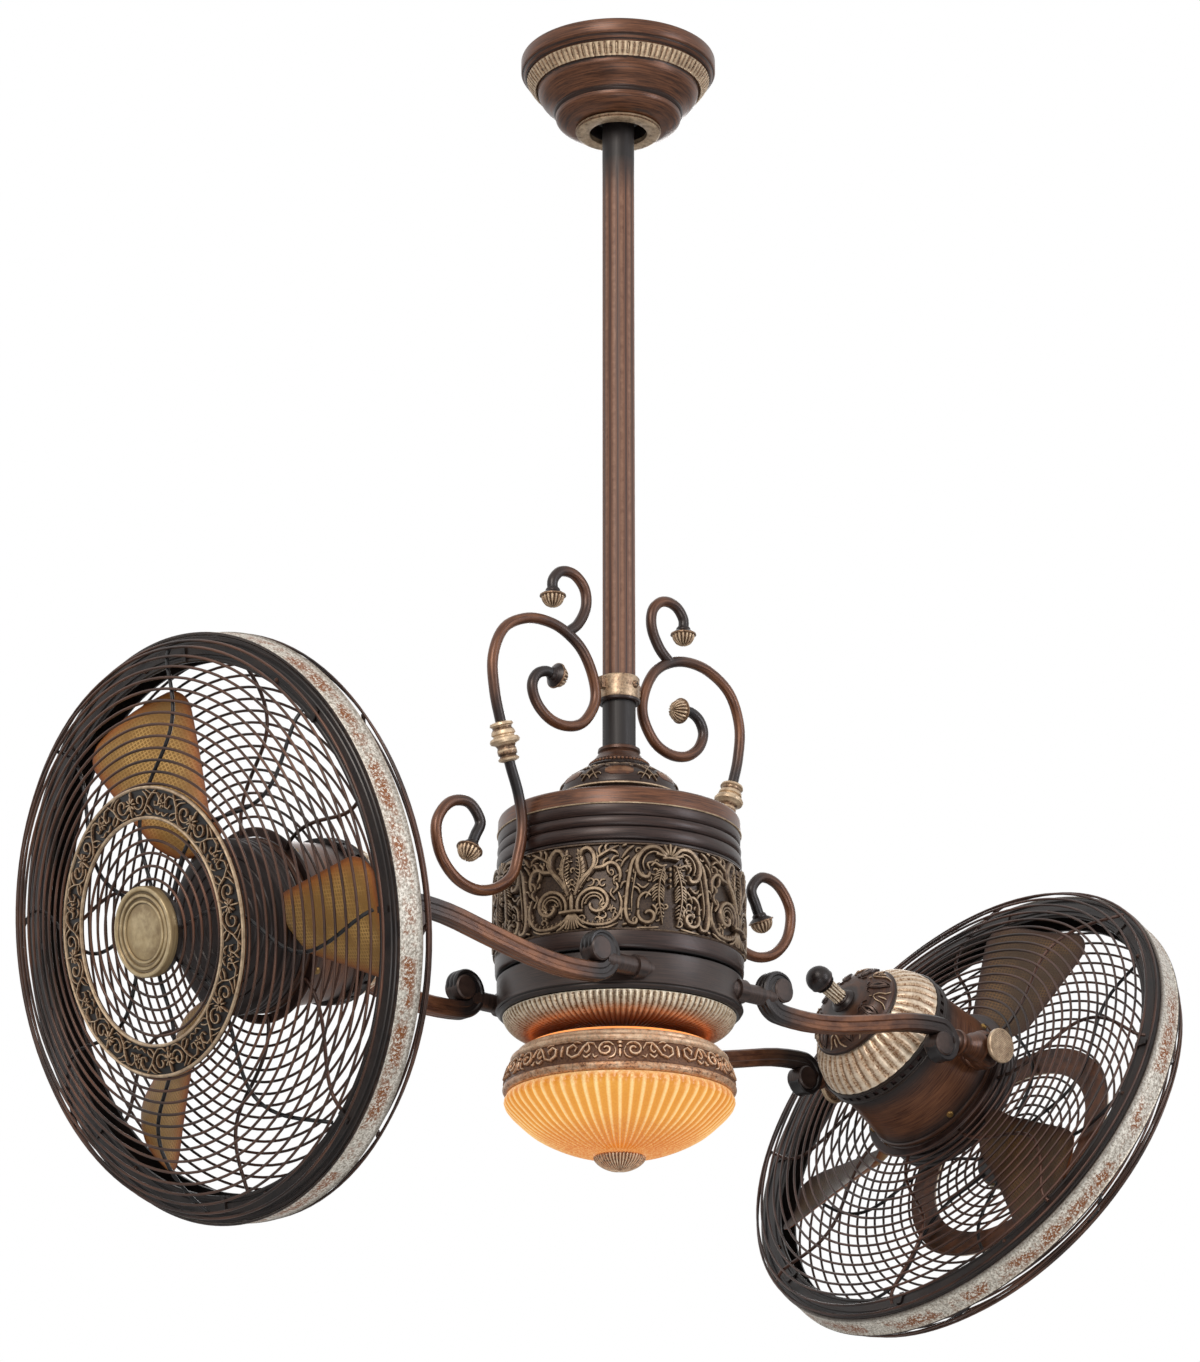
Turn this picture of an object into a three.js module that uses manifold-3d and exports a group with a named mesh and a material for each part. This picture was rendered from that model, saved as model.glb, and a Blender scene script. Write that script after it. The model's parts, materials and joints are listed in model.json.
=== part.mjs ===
// Twin head ceiling fan. Two caged fan heads tilt on scroll arms of a carrier that turns
// under a fixed housing, on a downrod with a canopy, over a fluted glass light.
// Millimetres, +Z up. The origin is on the ceiling face, on the axis of the downrod.
// The heads stand in the plane y = 0, the first towards +X and the second towards -X.
import * as THREE from 'three';
import { mergeVertices } from 'three/addons/utils/BufferGeometryUtils.js';
import Module from 'manifold-3d';

const wasm = await Module();
wasm.setup();

// ---- driving dimensions ----------------------------------------------------------------
const GAP = 0.3;                 // between pieces that seat on each other
const RUN_GAP = 1.2;             // between the fixed housing and the turning carrier

// canopy and what it hides
const CANOPY_R = 87.5;
const CANOPY_H = 67.1;
const CANOPY_WALL = 2;
const COLLAR_R = 38.4;
const COLLAR_H = 5.3;
const COLLAR_HOLE_R = 25.9;
const PLATE_T = 3;
const BALL_R = 24;
const BALL_DROP = 38;            // ball centre under the ceiling

// downrod and the collar that holds the scrolls
const ROD_R = 14.3;
const ROD_WALL = 2.5;
const ROD_DROP = 654;            // ceiling to the top of the coupling dome
const CLAMP_RISE = 72;           // top of the coupling dome to the top of the rod collar
const CLAMP_H = 27;
const CLAMP_WALL = 3;
const SHAFT_R = 10;
const SHAFT_WALL = 2.5;

// housing
const DOME_R = 54.3;
const DOME_H = 49.4;
const SHELL_R = 103.9;
const CAP_STEP = 0.9;            // the cap's rim lies inside the shell's face
const CAP_H = 23.3;
const SHELL_H = 129;
const SHELL_WALL = 4;
const BAND_TOP = 38.4;           // shell top to the top of the scroll band
const BAND_H = 75.4;
const BAND_T = 6;
const BAND_SEAT = 1.6;           // depth of the recess that the scroll band lies in
const MOTOR_R = 48;
const MOTOR_H = 80;
const SLEEVE_R = 24;

// carrier and arms
const CARRIER_STEP = 0.3;        // the carrier's face lies inside the shell's
const CARRIER_H = 31.2;
const CARRIER_WALL = 6;
const CARRIER_DECK = 5;
const PAN_STEP = 5.2;            // the pan's rim lies inside the carrier's face
const PAN_H = 19.5;
const ARM_Y = 85;                // half the distance between the two arms of a head
const ARM_THICK = 14;            // along Y
const ARM_DEEP = 15;             // in the plane of the scroll
const STUB_R = 8;
const STUB_DROP = 14.6;          // under the top of the carrier
const NECK_R = 7;
const INNER_CURL_R = 19;
const OUTER_CURL_R = 16;
const CURL_BACK = 59;            // tilt axis back to the centre of the outer curl
const REACH = 357;               // fan axis to tilt axis
const BOSS_R = 17;
const BOSS_STEP = 0.5;           // the boss starts this far outside the drum
const BOSS_W = 22;
const PIN_R = 4.7;
const PIN_DEEP = 9.5;            // length of the pin inside the drum
const KNOB_R = 15.5;
const KNOB_NECK_R = 8.5;
const KNOB_T = 13.5;

// light
const VENT = 9.7;                // open gap between the pan and the light fitter
const FITTER_TOP_R = 78.7;
const FITTER_R = 97.8;
const FITTER_H = 38.3;
const GLASS_R = 97;
const GLASS_H = 50.5;
const GLASS_WALL = 3;
const FINIAL_R = 22;
const FINIAL_H = 13.4;
const STEM_R = 4;
const SOCKET_R = 11;
const SOCKET_H = 15;
const LAMP_R = 12;
const LAMP_H = 34;
const LAMP_X = 38;               // each lamp from the fan axis

// wrought scrolls
const SCROLL_R = 4.2;
const SCROLL_STAND = 12.7;       // face of the rod to the centre line of the inner spiral
const CLIP_DROP = 18;            // top of the shell to the clip that holds the scroll
const BUD_R = 11;
const BALUSTER_R = 13;

// heads: every station is a distance along the head's own axis from the tilt axis
const HEAD_TILT = { right: 26.5, left: 13 };
const DRUM_R = 69.5;
const DRUM_BACK = -36;
const DRUM_FRONT = 38;
const DRUM_WALL = 4;
const VENT_R = 67;
const VENT_W = 13;
const REAR_SHELL_R = 65;
const REAR_SHELL_W = 30.7;
const REAR_CAP_R = 44.5;
const REAR_CAP_W = 19.7;
const FINIAL_BALL_R = 12.4;
const FINIAL_L = 48.5;
const AXLE_R = 8;
const HUB_FRONT = 60;
const ROTOR_R = 50;
const BLADE_COUNT = 3;
const BLADE_R = 199;
const BLADE_T = 2;
const BLADE_STATION = 64;
const BLADE_ROOT_HALF = 21;
const BLADE_TIP_HALF = 57;       // before its corners are rounded
const BLADE_ROOT_PITCH = 30;
const BLADE_TIP_PITCH = 18;
const CAGE_R = 231;
const CAGE_BACK = 58;
const CAGE_W = 23;
const CAGE_WALL = 2;
const RIM_W = 20;                // dark flat rim of each guard, inside the band
const RIM_T = 2;
const GUARD_FRONT_DEEP = 52;
const GUARD_REAR_DEEP = 29.5;
const GUARD_POWER = 2.6;
const WIRE_R = 1.3;
const SPOKES = 4;
const SPOKE_SWING = 9;           // degrees that a spoke sways to each side
const FILIGREE_R = 112.5;
const FILIGREE_W = 25.5;
const FILIGREE_T = 4;
const MEDAL_R = 35.5;
const MEDAL_T = 9;
const ROTOR_REST = { right: 188, left: 21 };   // degrees of the first blade about the head's axis

const ROUND = 24;                // sides of the column's turned pieces
const HEAD_ROUND = 18;           // a flat of the hub under each blade
const CAGE_ROUND = 32;
const WIRE_ROUND = 20;
const INNER_ROUND = 16;          // sides of what is hidden inside
const SMALL_ROUND = 12;

// ---- radii and places that follow their neighbours ---------------------------------------
const CAP_R = SHELL_R - CAP_STEP;
const CARRIER_R = SHELL_R - CARRIER_STEP;
const PAN_R = CARRIER_R - PAN_STEP;
const BAND_IN = SHELL_R - BAND_SEAT + GAP;
const BAND_OUT = BAND_IN + BAND_T;
const PIVOT_IN = DRUM_R + BOSS_STEP;                   // inner face of the boss, from y = 0
const PIN_IN = DRUM_R - PIN_DEEP;

// ---- heights of the stack under the ceiling --------------------------------------------
const DOME_TOP = -ROD_DROP;
const CLAMP_TOP = DOME_TOP + CLAMP_RISE;
const DECK_TOP = DOME_TOP - DOME_H - GAP;              // housing cap
const SHELL_TOP = DECK_TOP - CAP_H;
const SHELL_BOTTOM = SHELL_TOP - SHELL_H;
const CARRIER_TOP = SHELL_BOTTOM - RUN_GAP;
const CARRIER_BOTTOM = CARRIER_TOP - CARRIER_H;
const PAN_TOP = CARRIER_BOTTOM - GAP;
const PAN_BOTTOM = PAN_TOP - PAN_H;
const FITTER_TOP = PAN_BOTTOM - VENT;
const FITTER_BOTTOM = FITTER_TOP - FITTER_H;
const GLASS_TOP = FITTER_BOTTOM - GAP;
const GLASS_BOTTOM = GLASS_TOP - GLASS_H;
const FINIAL_BOTTOM = GLASS_BOTTOM - FINIAL_H;
const PIVOT_Z = CARRIER_TOP - STUB_DROP - 1;           // tilt axis

// ---- finishes ----------------------------------------------------------------------------
const finish = (colour, roughness, metalness) =>
  new THREE.MeshStandardMaterial({ color: colour, roughness, metalness });
const WALNUT = () => finish('#6b3d26', 0.45, 0.35);
const DARK_BRONZE = () => finish('#2e2422', 0.5, 0.6);
const COPPER_BROWN = () => finish('#5a3324', 0.45, 0.6);
const ANTIQUE_GOLD = () => finish('#8d7757', 0.5, 0.7);
const ANTIQUE_SILVER = () => finish('#b3a68f', 0.5, 0.7);
const WIRE_BROWN = () => finish('#3a2822', 0.5, 0.5);
const BLADE_GOLD = () => finish('#8a6a3c', 0.55, 0.3);
const AMBER_GLASS = () => finish('#f0a94a', 0.3, 0);
const PLATED_STEEL = () => finish('#9a9a98', 0.4, 0.9);
const PORCELAIN = () => finish('#e8e2d6', 0.5, 0);
const LAMP_GLASS = () => finish('#fff0d0', 0.2, 0);

// ---- helpers -----------------------------------------------------------------------------
const WELD = 1e-4;
const radians = THREE.MathUtils.degToRad;
const apothem = (sides) => Math.cos(Math.PI / sides);

// corner radius of a bore whose flats clear a round of radius r
const bore = (r, sides) => (r + GAP) / apothem(sides);

// one closed skin with shared corners and its faces pointing out
function skin(geometry) {
  geometry.deleteAttribute('normal');
  geometry.deleteAttribute('uv');
  const welded = mergeVertices(geometry, WELD);
  const corner = (i) => new THREE.Vector3().fromBufferAttribute(welded.attributes.position, i);
  const faces = [];
  let volume = 0;
  for (let i = 0; i < welded.index.count; i += 3) {
    const [a, b, c] = [0, 1, 2].map((k) => welded.index.getX(i + k));
    if (a === b || b === c || c === a) continue;
    faces.push([a, b, c]);
    volume += corner(a).dot(corner(b).cross(corner(c)));
  }
  if (volume < 0) faces.forEach((face) => face.reverse());
  welded.setIndex(faces.flat());
  return welded;
}

function toSolid(geometry) {
  return new wasm.Manifold(new wasm.Mesh({
    numProp: 3,
    vertProperties: new Float32Array(geometry.attributes.position.array),
    triVerts: new Uint32Array(geometry.index.array),
  }));
}

function toGeometry(solid) {
  const mesh = solid.getMesh();
  const geometry = new THREE.BufferGeometry();
  geometry.setAttribute('position', new THREE.BufferAttribute(mesh.vertProperties, 3));
  geometry.setIndex(new THREE.BufferAttribute(mesh.triVerts, 1));
  return geometry;
}

const joined = (parts) => toGeometry(parts.map(toSolid).reduce((a, b) => a.add(b)));
const cut = (body, tools) => toGeometry(tools.map(toSolid).reduce((a, b) => a.subtract(b), toSolid(body)));

// a body turned about Z; the outline of [radius, height] corners ends on the axis or closes
function turned(outline, sides) {
  const points = outline.map(([r, z]) => new THREE.Vector2(r, z));
  if (outline[0][0] > 0) points.push(points[0].clone());
  return skin(new THREE.LatheGeometry(points, sides).rotateX(Math.PI / 2));
}

const disc = (radius, low, high, sides) =>
  turned([[0, low], [radius, low], [radius, high], [0, high]], sides);
const ring = (inner, outer, low, high, sides) =>
  turned([[inner, low], [outer, low], [outer, high], [inner, high]], sides);

// a round bar bent along points, with flat ends
function bentBar(points, radius, sides, steps) {
  const corners = Array.from({ length: sides }, (_, i) => {
    const turn = (2 * Math.PI * i) / sides;
    return new THREE.Vector2(radius * Math.cos(turn), radius * Math.sin(turn));
  });
  const extrudePath = new THREE.CatmullRomCurve3(points, false, 'centripetal');
  const settings = { steps, extrudePath, bevelEnabled: false };
  return skin(new THREE.ExtrudeGeometry(new THREE.Shape(corners), settings));
}

// turns a body made along Z so that it runs along X or Y
const alongX = (geometry) => geometry.rotateY(Math.PI / 2);
const alongY = (geometry, side) => geometry.rotateX(-side * Math.PI / 2);

const part = new THREE.Group();

function add(group, name, geometry, material) {
  geometry.computeVertexNormals();
  const mesh = new THREE.Mesh(geometry, material);
  mesh.name = name;
  group.add(mesh);
  return mesh;
}

// ---- canopy ------------------------------------------------------------------------------
function hangerBracket() {
  const cupR = BALL_R + 9;
  const plateR = (CANOPY_R - CANOPY_WALL) * apothem(ROUND) - GAP;
  const seatR = bore(BALL_R, INNER_ROUND) + 0.4;
  const seat = [15, 50].map((down) => [
    seatR * Math.cos(radians(down)), -BALL_DROP - seatR * Math.sin(radians(down)),
  ]);
  return turned([
    [0, 0], [plateR, 0], [plateR, -PLATE_T], [cupR, -PLATE_T], [cupR, -BALL_DROP - 6],
    [seat[1][0] + 2, seat[1][1] - 3], seat[1], seat[0], [cupR - 4, -PLATE_T - 3], [0, -PLATE_T - 3],
  ], INNER_ROUND);
}

function hangerBall() {
  const edge = Math.acos(bore(ROD_R, INNER_ROUND) / BALL_R);
  const arc = [-1, -0.5, 0, 0.5, 1].map((t) => {
    return [BALL_R * Math.cos(t * edge), -BALL_DROP + BALL_R * Math.sin(t * edge)];
  });
  return turned(arc, INNER_ROUND);
}

function canopy() {
  const at = (r, h) => [CANOPY_R * r, -CANOPY_H * h];
  const outside = [
    at(1, 0), at(1, 0.18), at(0.93, 0.26), at(0.83, 0.43), at(0.76, 0.54),
    at(0.655, 0.75), at(0.645, 0.82), at(0.55, 0.94), at(0.44, 1),
  ];
  const inside = [at(0.4, 1), at(0.4, 0.965), at(0.53, 0.9), at(0.73, 0.52)];
  inside.push([CANOPY_R - CANOPY_WALL, -PLATE_T - 5], [CANOPY_R - CANOPY_WALL, 0]);
  return turned([...outside, ...inside], ROUND);
}

// ---- housing -----------------------------------------------------------------------------
function rodCollar() {
  const low = CLAMP_TOP - CLAMP_H;
  const reach = ROD_R + SCROLL_STAND - SCROLL_R - GAP;
  const inner = bore(ROD_R, ROUND);
  const lug = (side) => {
    const box = new THREE.BoxGeometry(reach - ROD_R - 1, 6, 10);
    return skin(box.translate(side * (reach + ROD_R + 1) / 2, 0, low + CLAMP_H / 2));
  };
  const clamp = ring(inner, inner + CLAMP_WALL, low, low + CLAMP_H, ROUND);
  return joined([clamp, lug(1), lug(-1)]);
}

function couplingDome() {
  const at = (r, h) => [DOME_R * r, DOME_TOP - DOME_H * h];
  const hole = bore(ROD_R, ROUND);
  return turned([
    [hole, DOME_TOP], at(0.31, 0), at(0.39, 0.17), at(0.51, 0.4), at(0.69, 0.58),
    at(0.85, 0.72), at(0.94, 0.86), at(1, 1),
    at(0.93, 1), at(0.8, 0.8), at(0.46, 0.47), [hole, DOME_TOP - DOME_H * 0.3],
  ], ROUND);
}

function housingCap() {
  const hole = bore(SHAFT_R, ROUND);
  return turned([
    [hole, DECK_TOP], [DOME_R + 2, DECK_TOP], [DOME_R + 5, DECK_TOP - 3], [CAP_R - 4, DECK_TOP - 11],
    [CAP_R, DECK_TOP - 16], [CAP_R, SHELL_TOP + GAP], [CAP_R - 4, SHELL_TOP + GAP],
    [CAP_R - 7, DECK_TOP - 15], [DOME_R + 3, DECK_TOP - 6], [hole, DECK_TOP - 6],
  ], ROUND);
}

function housingShell() {
  const recess = SHELL_R - BAND_SEAT;
  const bandTop = SHELL_TOP - BAND_TOP;
  const bandBottom = bandTop - BAND_H;
  return turned([
    [SHELL_R - 0.7, SHELL_TOP], [SHELL_R - 2, SHELL_TOP - 8], [SHELL_R, SHELL_TOP - 14],
    [SHELL_R, bandTop], [recess, bandTop], [recess, bandBottom],
    [SHELL_R + 1, bandBottom], [SHELL_R + 1, SHELL_BOTTOM + 3], [SHELL_R - 1, SHELL_BOTTOM],
    [SHELL_R - SHELL_WALL, SHELL_BOTTOM], [SHELL_R - SHELL_WALL, SHELL_TOP],
  ], ROUND);
}

function scrollBand() {
  const high = SHELL_TOP - BAND_TOP - GAP;
  const low = high - BAND_H + 2 * GAP;
  return ring(BAND_IN, BAND_OUT, low, high, ROUND);
}

// body, sleeve and the flange that the carrier's deck runs on
function turningMotor() {
  const top = DECK_TOP - 6 - GAP;
  const deckLow = CARRIER_TOP - CARRIER_DECK - GAP;
  const hole = bore(SHAFT_R, ROUND);
  return turned([
    [hole, top], [DOME_R - 20, top], [MOTOR_R, top - 8], [MOTOR_R, top - MOTOR_H],
    [SLEEVE_R, top - MOTOR_H - 6], [SLEEVE_R, deckLow], [SLEEVE_R + 8, deckLow],
    [SLEEVE_R + 8, deckLow - 5], [hole, deckLow - 5],
  ], ROUND);
}

// ---- light -------------------------------------------------------------------------------
const SHAFT_BOTTOM = FITTER_TOP + 4.4;

function fitterPlate() {
  const under = FITTER_TOP - 4;
  const hole = bore(STEM_R, ROUND);
  return turned([
    [0, SHAFT_BOTTOM - GAP], [SHAFT_R + 4, SHAFT_BOTTOM - GAP], [SHAFT_R + 4, FITTER_TOP - 1.3],
    [FITTER_TOP_R - 3.5, FITTER_TOP - 1.3], [FITTER_TOP_R - 3.5, under],
    [hole, under], [hole, FITTER_TOP + 1], [0, FITTER_TOP + 1],
  ], ROUND);
}

function lightFitter() {
  const wall = 3.2;
  const at = (r, h) => [FITTER_TOP_R + (FITTER_R - FITTER_TOP_R) * r, FITTER_TOP - FITTER_H * h];
  const inward = ([r, z]) => [r - wall, z];
  const outside = [at(0, 0), at(0.1, 0.12), at(0.57, 0.3), at(0.74, 0.42), at(1, 0.97), at(0.95, 1)];
  const inside = [at(0.95, 1), at(0.52, 0.32), at(0, 0.14), at(0, 0)].map(inward);
  return turned([...outside, ...inside], ROUND);
}

// height of the glass under its rim, as a share of its depth, at a share of its radius
const GLASS_CURVE = [[0.985, 0], [1, 0.1], [0.95, 0.4], [0.8, 0.68], [0.5, 0.92]];

function glassBowl() {
  const hole = bore(STEM_R, ROUND) + 0.3;
  const outside = GLASS_CURVE.map(([r, h]) => [GLASS_R * r, GLASS_TOP - GLASS_H * h]);
  const inside = GLASS_CURVE.map(([r, h]) => [
    (GLASS_R - GLASS_WALL) * r, GLASS_TOP - (GLASS_H - GLASS_WALL) * h,
  ]).reverse();
  outside.push([hole, GLASS_BOTTOM]);
  inside.unshift([hole, GLASS_BOTTOM + GLASS_WALL]);
  return turned([...outside, ...inside], ROUND);
}

function glassFinial() {
  const top = GLASS_BOTTOM - GAP;
  const stemTop = FITTER_TOP + 1 - GAP;
  return turned([
    [0, FINIAL_BOTTOM - GAP], [FINIAL_R * 0.5, FINIAL_BOTTOM + 1.5], [FINIAL_R * 0.85, FINIAL_BOTTOM + 6],
    [FINIAL_R, top - 1], [FINIAL_R - 2, top], [STEM_R, top], [STEM_R, stemTop], [0, stemTop],
  ], SMALL_ROUND);
}

function lampSocket(side) {
  const top = FITTER_TOP - 4 - GAP;
  return disc(SOCKET_R, top - SOCKET_H, top, SMALL_ROUND).translate(side * LAMP_X, 0, 0);
}

function lamp(side) {
  const top = FITTER_TOP - 4 - SOCKET_H - 2 * GAP;
  const at = (r, h) => [LAMP_R * r, top - LAMP_H * h];
  const bulb = turned([
    [0, top], at(0.55, 0), at(0.6, 0.2), at(1, 0.5), at(0.9, 0.78), at(0.5, 0.96), at(0, 1),
  ], SMALL_ROUND);
  return bulb.translate(side * LAMP_X, 0, 0);
}

// ---- wrought scrolls ---------------------------------------------------------------------
// centre line of the bent bar as [distance from the fan axis, height], from the lower bud
// up along the housing, over the shoulder and into the inner spiral: each stretch keeps its
// distance from the wall, the rod, the shell's top or the dome's top beside it
const from = (x0, z0, points) => points.map(([x, z]) => [x0 + x, z0 + z]);
const BALUSTER_LINE = from(BAND_OUT, SHELL_TOP, [[15.5, 38], [25.5, 71]]);
const SHOULDER_END = [ROD_R + 46, DOME_TOP + 94];
const SCROLL_MAIN = [
  ...from(BAND_OUT, SHELL_TOP, [
    [57, -44], [52, -33], [47, -21], [59, -7], [79, -10], [94, -30], [90, -56], [73, -74],
    [51, -80], [30, -75], [11.5, -60], [5, -41], [1.5, -25], [1, -11], [5.5, 12],
  ]),
  ...BALUSTER_LINE,
  ...from(BAND_OUT, DOME_TOP, [[32.5, 24], [34.5, 54], [22.5, 82], [-3.5, 97]]),
  [ROD_R + 64, DOME_TOP + 99],
  SHOULDER_END,
  ...from(ROD_R, DOME_TOP, [
    [29, 83], [17, 64], [SCROLL_STAND, 45], [16, 32], [29, 16], [48, 10], [66, 13], [80, 24],
    [85, 38], [80, 49], [70, 54], [61, 53],
  ]),
];
const SCROLL_CURL = [
  SHOULDER_END,
  ...from(ROD_R, DOME_TOP, [[33, 105], [24, 123], [26, 139], [38, 149], [53, 148], [62, 138], [62, 127]]),
];

const inPlane = ([x, z]) => new THREE.Vector3(x, 0, z);

// sets a body made along Z on the line from one point of the plane to another
function setOn(geometry, start, end) {
  const way = inPlane(end).sub(inPlane(start)).normalize();
  const turn = new THREE.Quaternion().setFromUnitVectors(new THREE.Vector3(0, 0, 1), way);
  return geometry.applyQuaternion(turn).translate(start[0], 0, start[1]);
}

// ribbed bud on a bar's end, from the last two points of its path
function bud(before, end) {
  const shape = turned([
    [0, -3], [SCROLL_R + 1, -3], [BUD_R, 1], [BUD_R * 0.7, 9], [0, 13],
  ], 8);
  const way = inPlane(end).sub(inPlane(before)).normalize();
  return setOn(shape, end, [end[0] + way.x, end[1] + way.z]);
}

function scroll(side) {
  const [low, high] = BALUSTER_LINE;
  const length = Math.hypot(high[0] - low[0], high[1] - low[1]);
  const turnedBody = turned([
    [0, 0], [0.75, 0], [0.55, 0.14], [1, 0.48], [0.6, 0.76], [0.8, 0.95], [0, 1],
  ].map(([r, h]) => [BALUSTER_R * r, length * h]), 10);
  const wall = SHELL_R + GAP;
  const bar = BAND_OUT + 1.4;
  const clip = new THREE.BoxGeometry(bar - wall, 6, 8);
  clip.translate((bar + wall) / 2, 0, SHELL_TOP - CLIP_DROP);
  const body = joined([
    bentBar(SCROLL_MAIN.map(inPlane), SCROLL_R, 5, 54),
    bentBar(SCROLL_CURL.map(inPlane), SCROLL_R, 5, 10),
    bud(SCROLL_MAIN[1], SCROLL_MAIN[0]),
    bud(SCROLL_MAIN.at(-2), SCROLL_MAIN.at(-1)),
    bud(SCROLL_CURL.at(-2), SCROLL_CURL.at(-1)),
    setOn(turnedBody, low, high),
    skin(clip),
  ]);
  return side > 0 ? body : body.rotateZ(Math.PI);
}

// ---- carrier -----------------------------------------------------------------------------
function carrierRing() {
  const deck = CARRIER_TOP - CARRIER_DECK;
  const inner = CARRIER_R - CARRIER_WALL;
  const hole = bore(SLEEVE_R, ROUND);
  const body = turned([
    [hole, CARRIER_TOP], [CARRIER_R, CARRIER_TOP], [CARRIER_R, CARRIER_BOTTOM + 3],
    [CARRIER_R - 2, CARRIER_BOTTOM], [inner, CARRIER_BOTTOM], [inner, deck], [hole, deck],
  ], ROUND);
  const mouth = (side, hand) => {
    const bar = alongX(disc(STUB_R + GAP + 0.2, 20, CARRIER_R + 2, SMALL_ROUND));
    return bar.translate(0, hand * ARM_Y, CARRIER_TOP - STUB_DROP).scale(side, side, 1);
  };
  return cut(body, [mouth(1, 1), mouth(1, -1), mouth(-1, 1), mouth(-1, -1)].map(skin));
}

function underPan() {
  const hole = SHAFT_R + 2;
  const at = (r, h) => [PAN_R * r, PAN_TOP - PAN_H * h];
  return turned([
    at(1, 0), at(0.975, 0.3), at(0.9, 0.62), at(0.79, 0.85), [hole, PAN_BOTTOM],
    [hole, PAN_BOTTOM + 2], at(0.77, 0.74), at(0.87, 0.52), at(0.95, 0.2), at(0.975, 0),
  ], ROUND);
}

// centre line of an arm as [distance from the fan axis, height over the tilt axis]
function armLine() {
  const inner = { x: CARRIER_R, z: 8, first: 270, last: -10, start: INNER_CURL_R, end: 6 };
  const outer = { x: REACH - CURL_BACK, z: -5.5, first: 90, last: -200, start: OUTER_CURL_R, end: 5 };
  const curl = ({ x, z, first, last, start, end }) => {
    return Array.from({ length: 10 }, (_, i) => {
      const t = i / 9;
      const turn = radians(first + (last - first) * t);
      const r = start + (end - start) * t;
      return [x + r * Math.cos(turn), z + r * Math.sin(turn)];
    });
  };
  const middle = [[0.17, -12.5], [0.36, -9], [0.6, 0], [0.82, 8.5]].map(([t, z]) => {
    return [inner.x + (outer.x - inner.x) * t, z];
  });
  return [...curl(inner).reverse(), ...middle, ...curl(outer)];
}

// a flat bar of even depth that follows the arm's line, its ends drawn in to close the curls
function armBar() {
  const line = new THREE.CatmullRomCurve3(armLine().map(inPlane), false, 'centripetal');
  const steps = 30;
  const left = [];
  const right = [];
  for (let i = 0; i <= steps; i += 1) {
    const t = i / steps;
    const p = line.getPointAt(t);
    const way = line.getTangentAt(t);
    const half = (ARM_DEEP / 2) * Math.min(1, 0.42 + 3.4 * Math.min(t, 1 - t));
    left.push(new THREE.Vector2(p.x - way.z * half, p.z + way.x * half));
    right.push(new THREE.Vector2(p.x + way.z * half, p.z - way.x * half));
  }
  const outline = new THREE.Shape([...left, ...right.reverse()]);
  const slab = new THREE.ExtrudeGeometry(outline, { depth: ARM_THICK, bevelEnabled: false });
  return skin(slab.rotateX(Math.PI / 2).translate(0, ARM_THICK / 2, 0));
}

// arm of the head towards +X, on the side y > 0
function arm() {
  const wallIn = Math.sqrt((CARRIER_R - CARRIER_WALL) ** 2 - ARM_Y ** 2);
  const stub = alongX(disc(STUB_R, wallIn - 12, CARRIER_R - 8, SMALL_ROUND)).translate(0, 0, 1);
  const neck = alongX(disc(NECK_R, REACH - CURL_BACK + OUTER_CURL_R - 2, REACH - 6, 8));
  const face = PIVOT_IN - ARM_Y;
  const boss = alongY(disc(BOSS_R, face, face + BOSS_W, SMALL_ROUND), 1);
  const hole = alongY(disc(PIN_R + GAP, face - 1, face + BOSS_W + 1, SMALL_ROUND), 1);
  const body = joined([armBar(), stub, neck, boss.translate(REACH, 0, 0)]);
  return cut(body, [hole.translate(REACH, 0, 0)]);
}

function tiltKnob() {
  const face = PIVOT_IN + BOSS_W + GAP;
  return turned([
    [0, PIN_IN], [PIN_R, PIN_IN], [PIN_R, face], [KNOB_NECK_R, face], [KNOB_NECK_R, face + KNOB_T * 0.25],
    [KNOB_R, face + KNOB_T * 0.65], [KNOB_R, face + KNOB_T - 1.5], [KNOB_R - 2, face + KNOB_T],
    [0, face + KNOB_T],
  ], SMALL_ROUND);
}

// ---- heads, each along its own +Z ----------------------------------------------------------
const VENT_BACK = DRUM_BACK - GAP - VENT_W;
const REAR_SHELL_BACK = VENT_BACK - GAP - REAR_SHELL_W;
const REAR_CAP_BACK = REAR_SHELL_BACK - GAP - REAR_CAP_W;
const AXLE_HOLE = bore(AXLE_R, HEAD_ROUND);

function rearFinial() {
  const base = REAR_CAP_BACK - GAP;
  const ball = base - FINIAL_L + FINIAL_BALL_R;
  const at = (angle) => {
    const turn = radians(angle);
    return [FINIAL_BALL_R * Math.cos(turn), ball + FINIAL_BALL_R * Math.sin(turn)];
  };
  return turned([
    [0, base - FINIAL_L], at(-50), at(0), at(52), [7.2, base - 18], [8.5, base - 6],
    [13, base - 3.5], [13, base], [0, base],
  ], SMALL_ROUND);
}

function rearCap() {
  const at = (r, h) => [REAR_CAP_R * r, REAR_CAP_BACK + REAR_CAP_W * h];
  return turned([
    at(0, 0), at(0.4, 0), at(0.8, 0.2), at(0.96, 0.5), at(1, 1),
    at(0.93, 1), at(0.89, 0.54), at(0.73, 0.34), at(0, 0.15),
  ], HEAD_ROUND);
}

function rearShell() {
  const grow = REAR_SHELL_R - REAR_CAP_R;
  const at = (r, h, wall) => [REAR_CAP_R + grow * r - wall, REAR_SHELL_BACK + REAR_SHELL_W * h];
  const curve = [[0, 0], [0.54, 0.3], [0.86, 0.63], [1, 1]];
  return turned([
    ...curve.map(([r, h]) => at(r, h, 0)),
    ...curve.map(([r, h]) => at(r, h, 3)).reverse(),
  ], HEAD_ROUND);
}

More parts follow.
